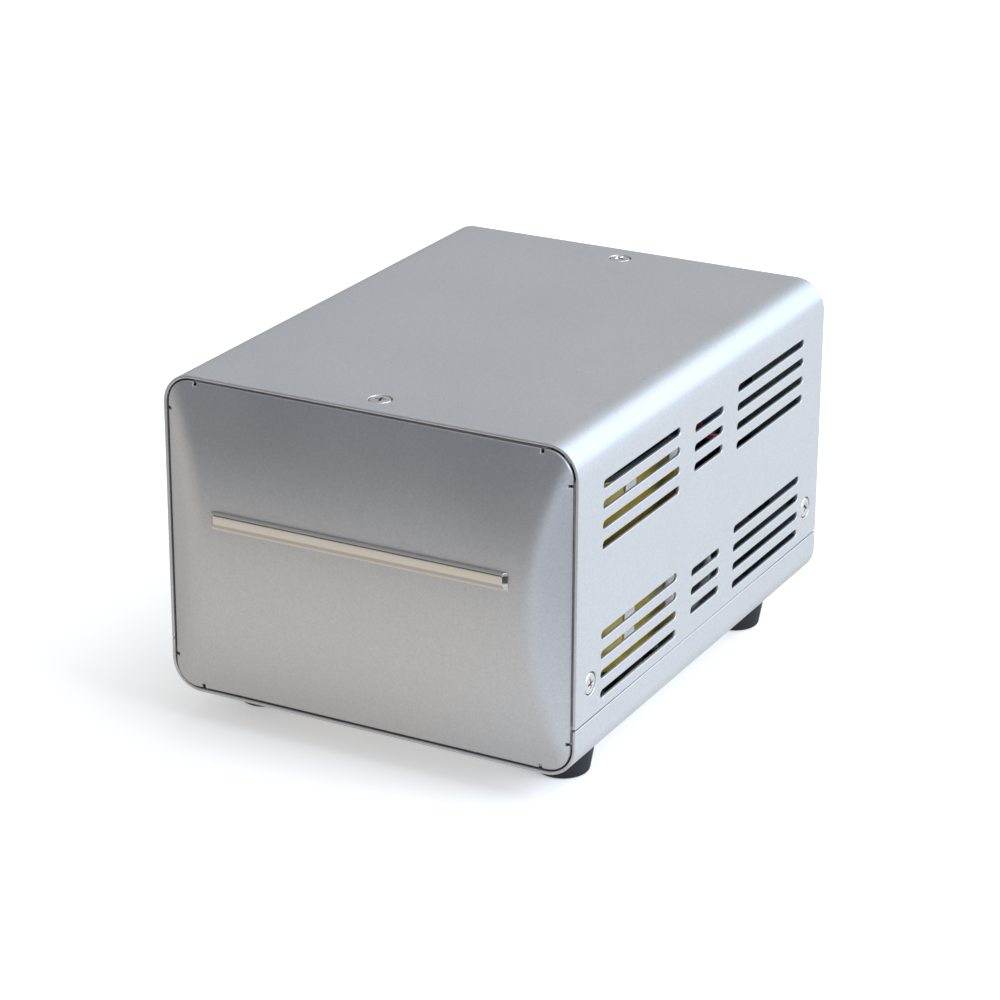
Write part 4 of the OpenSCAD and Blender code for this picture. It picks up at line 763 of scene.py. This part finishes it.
# routes of the leads: from the coil's flanges to the outlets and the rocker, between the tabs of the lower row, and
# from the inlet down to the earth screw
def makeLeads():
    cx, cy, top, base, core = coil["x"], coil["middle"], lead["coilTop"], coil["tapeLow"], lead["coreRear"]
    high, low = rear["highRow"], rear["lowRow"]
    x, y, z = rear["flatX"] + 6.35, lead["flatY"], high + 4.0
    makeLead("lead_blue", [(cx - 6, cy + 4, top), (cx - 6, cy + 4, top + 4), (cx + 3.2, cy + 10, top + 3.5),
                           (cx + 3.2, cy + 40, top + 1), (cx + 1, cy + 66, top - 7),
                           ((cx + x) / 2, (core + y) / 2 + 8, z - 2), (x, y - 8, z), (x, y, z)],
             (1, -0.15, 0), "blue")
    x, y, z = rear["roundX"] - 9.5, lead["roundY"], high
    makeLead("lead_red", [(cx - 13, cy + 28, top), (cx - 13, cy + 28, top + 4), (cx - 6, cy + 40, top + 2),
                          (cx - 2, cy + 46, top - 9), (cx - 10, cy + 64, top - 16), (0, (core + y) / 2, z - 6),
                          (x, y - 8, z), (x, y, z)], (0.87, 0.5, 0), "red")
    x, y, z = rear["rockerX"] + 5, lead["rockerY"], low + 6
    makeLead("lead_white", [(cx - 6, cy + 22, base), (cx - 6, cy + 23, base - 4), (cx - 1, cy + 36, base - 4),
                            (cx + 1, cy + 46, base + 5), (cx - 8, cy + 60, base + 14),
                            (x + 20, (core + y) / 2 + 2, z + 1), (x, y - 7, z), (x, y, z)],
             (0.94, 0.34, 0), "white")
    tabs = dict(inlet=(rear["inletX"] - 6.5, lead["inletY"], low - 4),
                rockerRight=(rear["rockerX"] + 5, lead["rockerY"], low - 6),
                rockerLeft=(rear["rockerX"] - 5, lead["rockerY"], low - 6),
                breaker=(rear["breakerX"], lead["breakerY"], low - 7))
    for hue, start, stop in (("black", "inlet", "rockerRight"), ("brown", "rockerLeft", "breaker")):
        (x0, y0, z0), (x, y, z) = tabs[start], tabs[stop]
        makeLead("lead_" + hue, [(x0, y0, z0), (x0, y0 - 5, z0), ((x0 * 2 + x) / 3, (core + y0) / 2, z0 - 2),
                                 ((x0 + x * 2) / 3, (core + y) / 2, z - 1), (x, y - 5, z), (x, y, z)],
                 (0, 0.1, 1), hue)
    x0, y0, z0 = rear["inletX"], lead["inletY"], low + 4
    x, y, floor = lead["earthX"], lead["earthY"], case["sheet"]
    makeLead("lead_earth", [(x0, y0, z0), (x0, y0 - 5, z0), (x0 - 8, y0 - 16, z0 - 14), (x0 - 20, y + 1, floor + 10),
                            (x + 8, y, floor + 2.2), (x, y, floor + 1.8)],
             (0, 1, 0.2), "green", lead["earthRadius"])


makeCoilWrap()
for beltName, beltLow, beltHigh in coil["belts"]:
    makeCoilBelt(beltName, beltLow, beltHigh)
makeTieTapes()
makeLeads()
print("coil and leads made")

# rocker: its pivot, its outline before it is turned to rest, its width and the softness of its ends
rocker = dict(pivotY=201.0, radius=12.8, width=18.6, valley=3.6, tip=6.4, hollow=1.25, back=-4.0, rest=-10.0,
              soft=0.7, faceSteps=61, endSteps=14, around=200)
rockerReach = math.sqrt(rocker["radius"] ** 2 - rocker["tip"] ** 2)


# turns places about the pivot from the rocker's own frame (across, out, up) to the case
def rockerPlace(x, y, z):
    a = math.radians(rocker["rest"])
    return np.stack([x + rear["rockerX"], rocker["pivotY"] + y * math.cos(a) - z * math.sin(a),
                     rear["lowRow"] + y * math.sin(a) + z * math.cos(a)], -1)


# how far the hollow face stands out: from the valley to the tips by a power of the share of the way up or down
def rockerFace(share):
    return rocker["valley"] + (rocker["tip"] - rocker["valley"]) * np.abs(share) ** rocker["hollow"]


# outline in (out, up): the hollow face, the round ends and a flat back; it is carried across, drawn in along its
# normal by a quarter round at both ends
def makeRocker():
    up = np.linspace(-1.0, 1.0, rocker["faceSteps"])
    face = np.stack([rockerFace(up), up * rockerReach], -1)
    last = math.atan2(math.sqrt(rocker["radius"] ** 2 - rocker["back"] ** 2), rocker["back"])
    a = np.linspace(math.atan2(rockerReach, rocker["tip"]), last, rocker["endSteps"])
    end = rocker["radius"] * np.stack([np.cos(a), np.sin(a)], -1)
    outline = evenLoop(np.vstack([face, end[1:], end[:0:-1] * [1.0, -1.0]]), rocker["around"])
    q = np.linspace(0.0, math.pi / 2, 6)
    e, half = rocker["soft"], rocker["width"] / 2
    inset = np.concatenate([e * (1 - np.sin(q)), e * (1 - np.sin(q[::-1]))])
    x = np.concatenate([-half + e * (1 - np.cos(q)), half - e * (1 - np.cos(q[::-1]))])
    flat = outline - inset[:, None, None] * loopNormals(outline)
    rings = rockerPlace(x[:, None] + 0 * flat[..., 0], flat[..., 0], flat[..., 1])
    addPiece("rockerKey", ringMesh(rings), rockerPlastic, ["rocker"], "rocker", 40.0)


# printed marks: a thin bar on one half and a thin ring on the other, laid on the hollow face by its own curve
marks = dict(at=6.2, bar=(1.1, 5.0), ring=(2.7, 1.7), thick=0.1, edge=0.02, proud=0.06, cuts=(-9.0, 9.1, 0.5))


def makeMarks():
    loops = dict(markBar=[roundRect(*marks["bar"], 0.2, 3, (0.0, marks["at"]))],
                 markRing=[circle(r, 16, (0.0, -marks["at"])) for r in marks["ring"]])
    for name, lines in loops.items():
        mesh = cutSheet(lines, marks["thick"], marks["edge"], cutsV=np.arange(*marks["cuts"]))
        bend(mesh, lambda u, v, w: rockerPlace(u, rockerFace(v / rockerReach) + w + marks["proud"], v))
        addPiece(name, mesh, markInk, (), "rocker", 40.0)


makeRocker()
makeMarks()
print("rocker made")

# other nodes: a finish, its slot, and the edge softness of each node in millimetres
softened = (
    (laminations, "core_steel", dict(e_laminations=0.2, i_laminations=0.2)),
    (spoolShadeBlack, "bobbin_plastic", dict(coil_bobbin=0.3)),
    (ivoryPlastic, "ivory_plastic", dict(thermal_cutout=0.6)),
    (copperWire, "copper", dict(inner_winding=0.0, outer_winding=0.0)),
    (dullZinc, "zinc", dict(angle_left=0.3, angle_right=0.3, core_bolts=0.2, core_washers=0.15, core_nuts=0.2,
                            angle_nuts=0.2, foot_nuts=0.2, clinch_nuts=0.15, inlet_nuts=0.15)),
    (zincPlate, "zinc", dict(angle_screws=0.15, foot_screws=0.15, inlet_pins=0.4, inlet_screws=0.15,
                             breaker_nut=0.35, earth_screw=0.15)),
    (blackPlastic, "black_plastic", dict(inlet_body=0.5, rocker_housing=0.5, breaker_body=0.35, flat_outlet=0.5,
                                         round_outlet=0.6)),
    (whitePlastic, "white_plastic", dict(reset_button=0.6)),
    (brassStrip, "contact_brass", dict(rocker_tabs=0.15, breaker_tabs=0.15, flat_contacts=0.15,
                                       round_contacts=0.15, earth_nut=0.2)))
# radius of the upright corners of the moulded flanges, and the body of a node that doesn't ride on the case
flangeCorners = dict(inlet_body=3.0, rocker_housing=1.6, flat_outlet=2.4)
riders = dict(reset_button="reset")


# rounds the corners of a flange: edges that run straight in and lie furthest out across and up
def roundCorners(obj, radius):
    mesh = obj.data
    places = np.empty(len(mesh.vertices) * 3)
    mesh.vertices.foreach_get("co", places)
    places = places.reshape(-1, 3)
    pairs = np.empty(len(mesh.edges) * 2, np.int32)
    mesh.edges.foreach_get("vertices", pairs)
    start, stop = places[pairs[0::2]], places[pairs[1::2]]
    out = np.minimum(start - places.min(0), places.max(0) - start)
    weight = np.all(np.maximum(out, np.abs(start - stop))[:, [0, 2]] < 1e-5, 1).astype(np.float32)
    mesh.attributes.new("bevel_weight_edge", "FLOAT", "EDGE").data.foreach_set("value", weight)
    turn = obj.modifiers.new("roundCorners", "BEVEL")
    turn.limit_method = "WEIGHT"
    turn.width = radius * mm
    turn.segments = 6
    obj.modifiers.move(len(obj.modifiers) - 1, 0)


# softened copy of a CAD node: its triangles merged into whole faces, its edges rounded by a bevel
def softCopy(node, finish, width):
    work = bmesh.new()
    work.from_mesh(nodes[node].data)
    work.transform(nodes[node].matrix_world)
    bmesh.ops.remove_doubles(work, verts=work.verts, dist=1e-6)
    bmesh.ops.dissolve_limit(work, angle_limit=math.radians(1.0), verts=work.verts, edges=work.edges)
    mesh = bpy.data.meshes.new("copy")
    work.to_mesh(mesh)
    work.free()
    obj = addPiece(camel(node), mesh, finish, [node], riders.get(node, "case"), 40.0, width)
    if node in flangeCorners:
        roundCorners(obj, flangeCorners[node])


for softFinish, softSlot, widths in softened:
    for softNode, softWidth in widths.items():
        softCopy(softNode, softFinish, softWidth)
print("remaining nodes softened")

# stage in metres, its paper's fibre in millimetres: a pale floor, a plain sky, soft lamps with a place, a size, a
# power and a colour, and a dark card that only reflections see
stage = dict(floorSize=8.0, paper=("f3f3f3", "f6f6f6"), fibre=2.0, floorGlow=0.36, warm="f8efe4", cool="f6fbff",
             tintFrom=0.0, tintTo=0.1, shadeFrom=-0.105, shadeTo=-0.15, shaded=0.59, clear=0.94,
             sky="d6d7d8", skyStrength=0.68, aim=(0.0, 0.0, 0.06))
lamps = dict(overheadLamp=((0.5, 0.3, 1.7), 1.5, 13.0, "ffffff"), windowLamp=((1.7, 0.1, 0.8), 1.4, 31.0, "e4eeff"),
             rearLamp=((0.95, 1.5, 1.05), 1.8, 17.5, "d4e8ff"), lowLamp=((0.55, -1.1, 0.15), 0.28, 1.9, "e6e8ff"))
card = dict(near=-0.385, far=-1.7, left=-2.0, right=0.5, low=0.002, rise=0.8, side=(0.14, 0.8, -0.2), tone="2b3238")


# flat squares from four corners each, on the stage
def stageSheet(name, places, mat):
    mesh = bpy.data.meshes.new(name)
    mesh.from_pydata(places, [], [tuple(range(k, k + 4)) for k in range(0, len(places), 4)])
    mesh.materials.append(mat)
    obj = bpy.data.objects.new(name, mesh)
    bpy.context.scene.collection.objects.link(obj)
    return obj


# white paper: matt, a little brighter to the eye than to the lamps so that it stays white; in reflections it is an
# even white, a little warm on the left and a little cool on the right as between two windows, and darker close to
# the front where the case shades it
def makeFloor():
    s = stage["floorSize"] / 2
    mat, tree, shader, coords = startMaterial("whitePaper", {"Roughness": 0.9, "Emission Color": (1, 1, 1, 1)})
    fibre = addNode(tree, "TexNoise", {"Scale": 1000 / stage["fibre"], "Detail": 2.0}, {"Vector": coords})
    low, high = linear(stage["paper"][0]), linear(stage["paper"][1])
    colour = addNode(tree, "Mix", {"data_type": "RGBA", 6: low, 7: high}, {0: fibre})
    tree.links.new(colour.outputs[2], shader.inputs["Base Color"])
    rays = addNode(tree, "LightPath")
    seen = addNode(tree, "Math", {"operation": "MAXIMUM"},
                   {0: rays.outputs["Is Camera Ray"], 1: rays.outputs["Is Transmission Ray"]})
    glow = addNode(tree, "Math", {"operation": "MULTIPLY", 1: stage["floorGlow"]}, {0: seen})
    tree.links.new(glow.outputs[0], shader.inputs["Emission Strength"])
    axes = addNode(tree, "SeparateXYZ", None, {0: coords})
    across = addNode(tree, "MapRange", {1: stage["tintFrom"], 2: stage["tintTo"]}, {0: axes.outputs["X"]})
    tint = addNode(tree, "Mix", {"data_type": "RGBA", 6: linear(stage["warm"]), 7: linear(stage["cool"])},
                   {0: across})
    clear = addNode(tree, "MapRange", {1: stage["shadeFrom"], 2: stage["shadeTo"], 3: stage["shaded"],
                                                 4: stage["clear"]}, {0: axes.outputs["Y"]})
    bright = addNode(tree, "Math", {"operation": "MAXIMUM"}, {0: clear, 1: across})
    mirror = addNode(tree, "Emission", None, {0: tint.outputs[2], 1: bright})
    both = addNode(tree, "MixShader", None, {0: rays.outputs["Is Glossy Ray"], 1: shader, 2: mirror})
    tree.links.new(both.outputs[0], tree.nodes["Material Output"].inputs[0])
    stageSheet("floor", [(-s, -s, 0), (s, -s, 0), (s, s, 0), (-s, s, 0)], mat)


# dark card far in front of the case, seen only in reflections: it darkens the upper front as a room would
def makeCard():
    mat = startMaterial("greyCard", {"Base Color": linear(card["tone"]), "Roughness": 1.0})[0]
    n, f, a, b, g, h = card["near"], card["far"], card["left"], card["right"], card["low"], card["rise"]
    c, d, e = card["side"]
    obj = stageSheet("greyCard", [(a, f, g), (b, f, g), (b, n, g), (a, n, g),
                                  (a, f, h), (b, f, h), (b, f, g), (a, f, g),
                                  (c, n, g), (d, n, g), (d, e, g), (c, e, g)], mat)
    obj.visible_camera = False
    obj.visible_diffuse = False
    obj.visible_shadow = False
    obj.visible_transmission = False


# square soft lamp that looks at the case from its place
def softLamp(name, place, size, power, colour):
    lamp = bpy.data.lights.new(name, "AREA")
    lamp.shape = "SQUARE"
    lamp.size = size
    lamp.energy = power
    lamp.color = linear(colour)[:3]
    obj = bpy.data.objects.new(name, lamp)
    aim = np.array(stage["aim"]) - np.array(place)
    turn = Matrix.Rotation(math.atan2(aim[1], aim[0]) - math.pi / 2, 4, "Z")
    tip = Matrix.Rotation(math.pi / 2 + math.atan2(aim[2], math.hypot(aim[0], aim[1])), 4, "X")
    obj.matrix_world = Matrix.Translation(place) @ turn @ tip
    bpy.context.scene.collection.objects.link(obj)


# plain sky: white to the camera, a soft grey to everything else
def makeSky():
    world = bpy.data.worlds.new("studio")
    bpy.context.scene.world = world
    world.use_nodes = True
    tree = world.node_tree
    rays = addNode(tree, "LightPath")
    sky = addNode(tree, "Background", {0: linear(stage["sky"]), 1: stage["skyStrength"]})
    white = addNode(tree, "Background", {0: (1, 1, 1, 1), 1: 1.0})
    both = addNode(tree, "MixShader", None, {0: rays.outputs["Is Camera Ray"], 1: sky, 2: white})
    tree.links.new(both.outputs[0], tree.nodes["World Output"].inputs[0])


# camera of the photograph: its place in metres, its turn, tilt and roll in degrees, its lens and sensor
view = dict(place=(0.51688, -0.97569, 0.49874), turn=28.050, tilt=21.488, roll=0.2547, lens=115.512, sensor=36.0,
            nearest=0.01)


def makeCamera():
    cam = bpy.data.cameras.new("photoCamera")
    cam.lens = view["lens"]
    cam.sensor_width = view["sensor"]
    cam.clip_start = view["nearest"]
    obj = bpy.data.objects.new("photoCamera", cam)
    turn = Matrix.Rotation(math.radians(view["turn"]), 4, "Z")
    tilt = Matrix.Rotation(math.radians(90 - view["tilt"]), 4, "X")
    roll = Matrix.Rotation(math.radians(view["roll"]), 4, "Z")
    obj.matrix_world = Matrix.Translation(view["place"]) @ turn @ tilt @ roll
    bpy.context.scene.collection.objects.link(obj)
    bpy.context.scene.camera = obj


makeFloor()
makeCard()
makeSky()
for lampName, (place, size, power, colour) in lamps.items():
    softLamp(lampName, place, size, power, colour)
makeCamera()
bpy.context.scene.view_settings.view_transform = "Standard"
print("stage set")
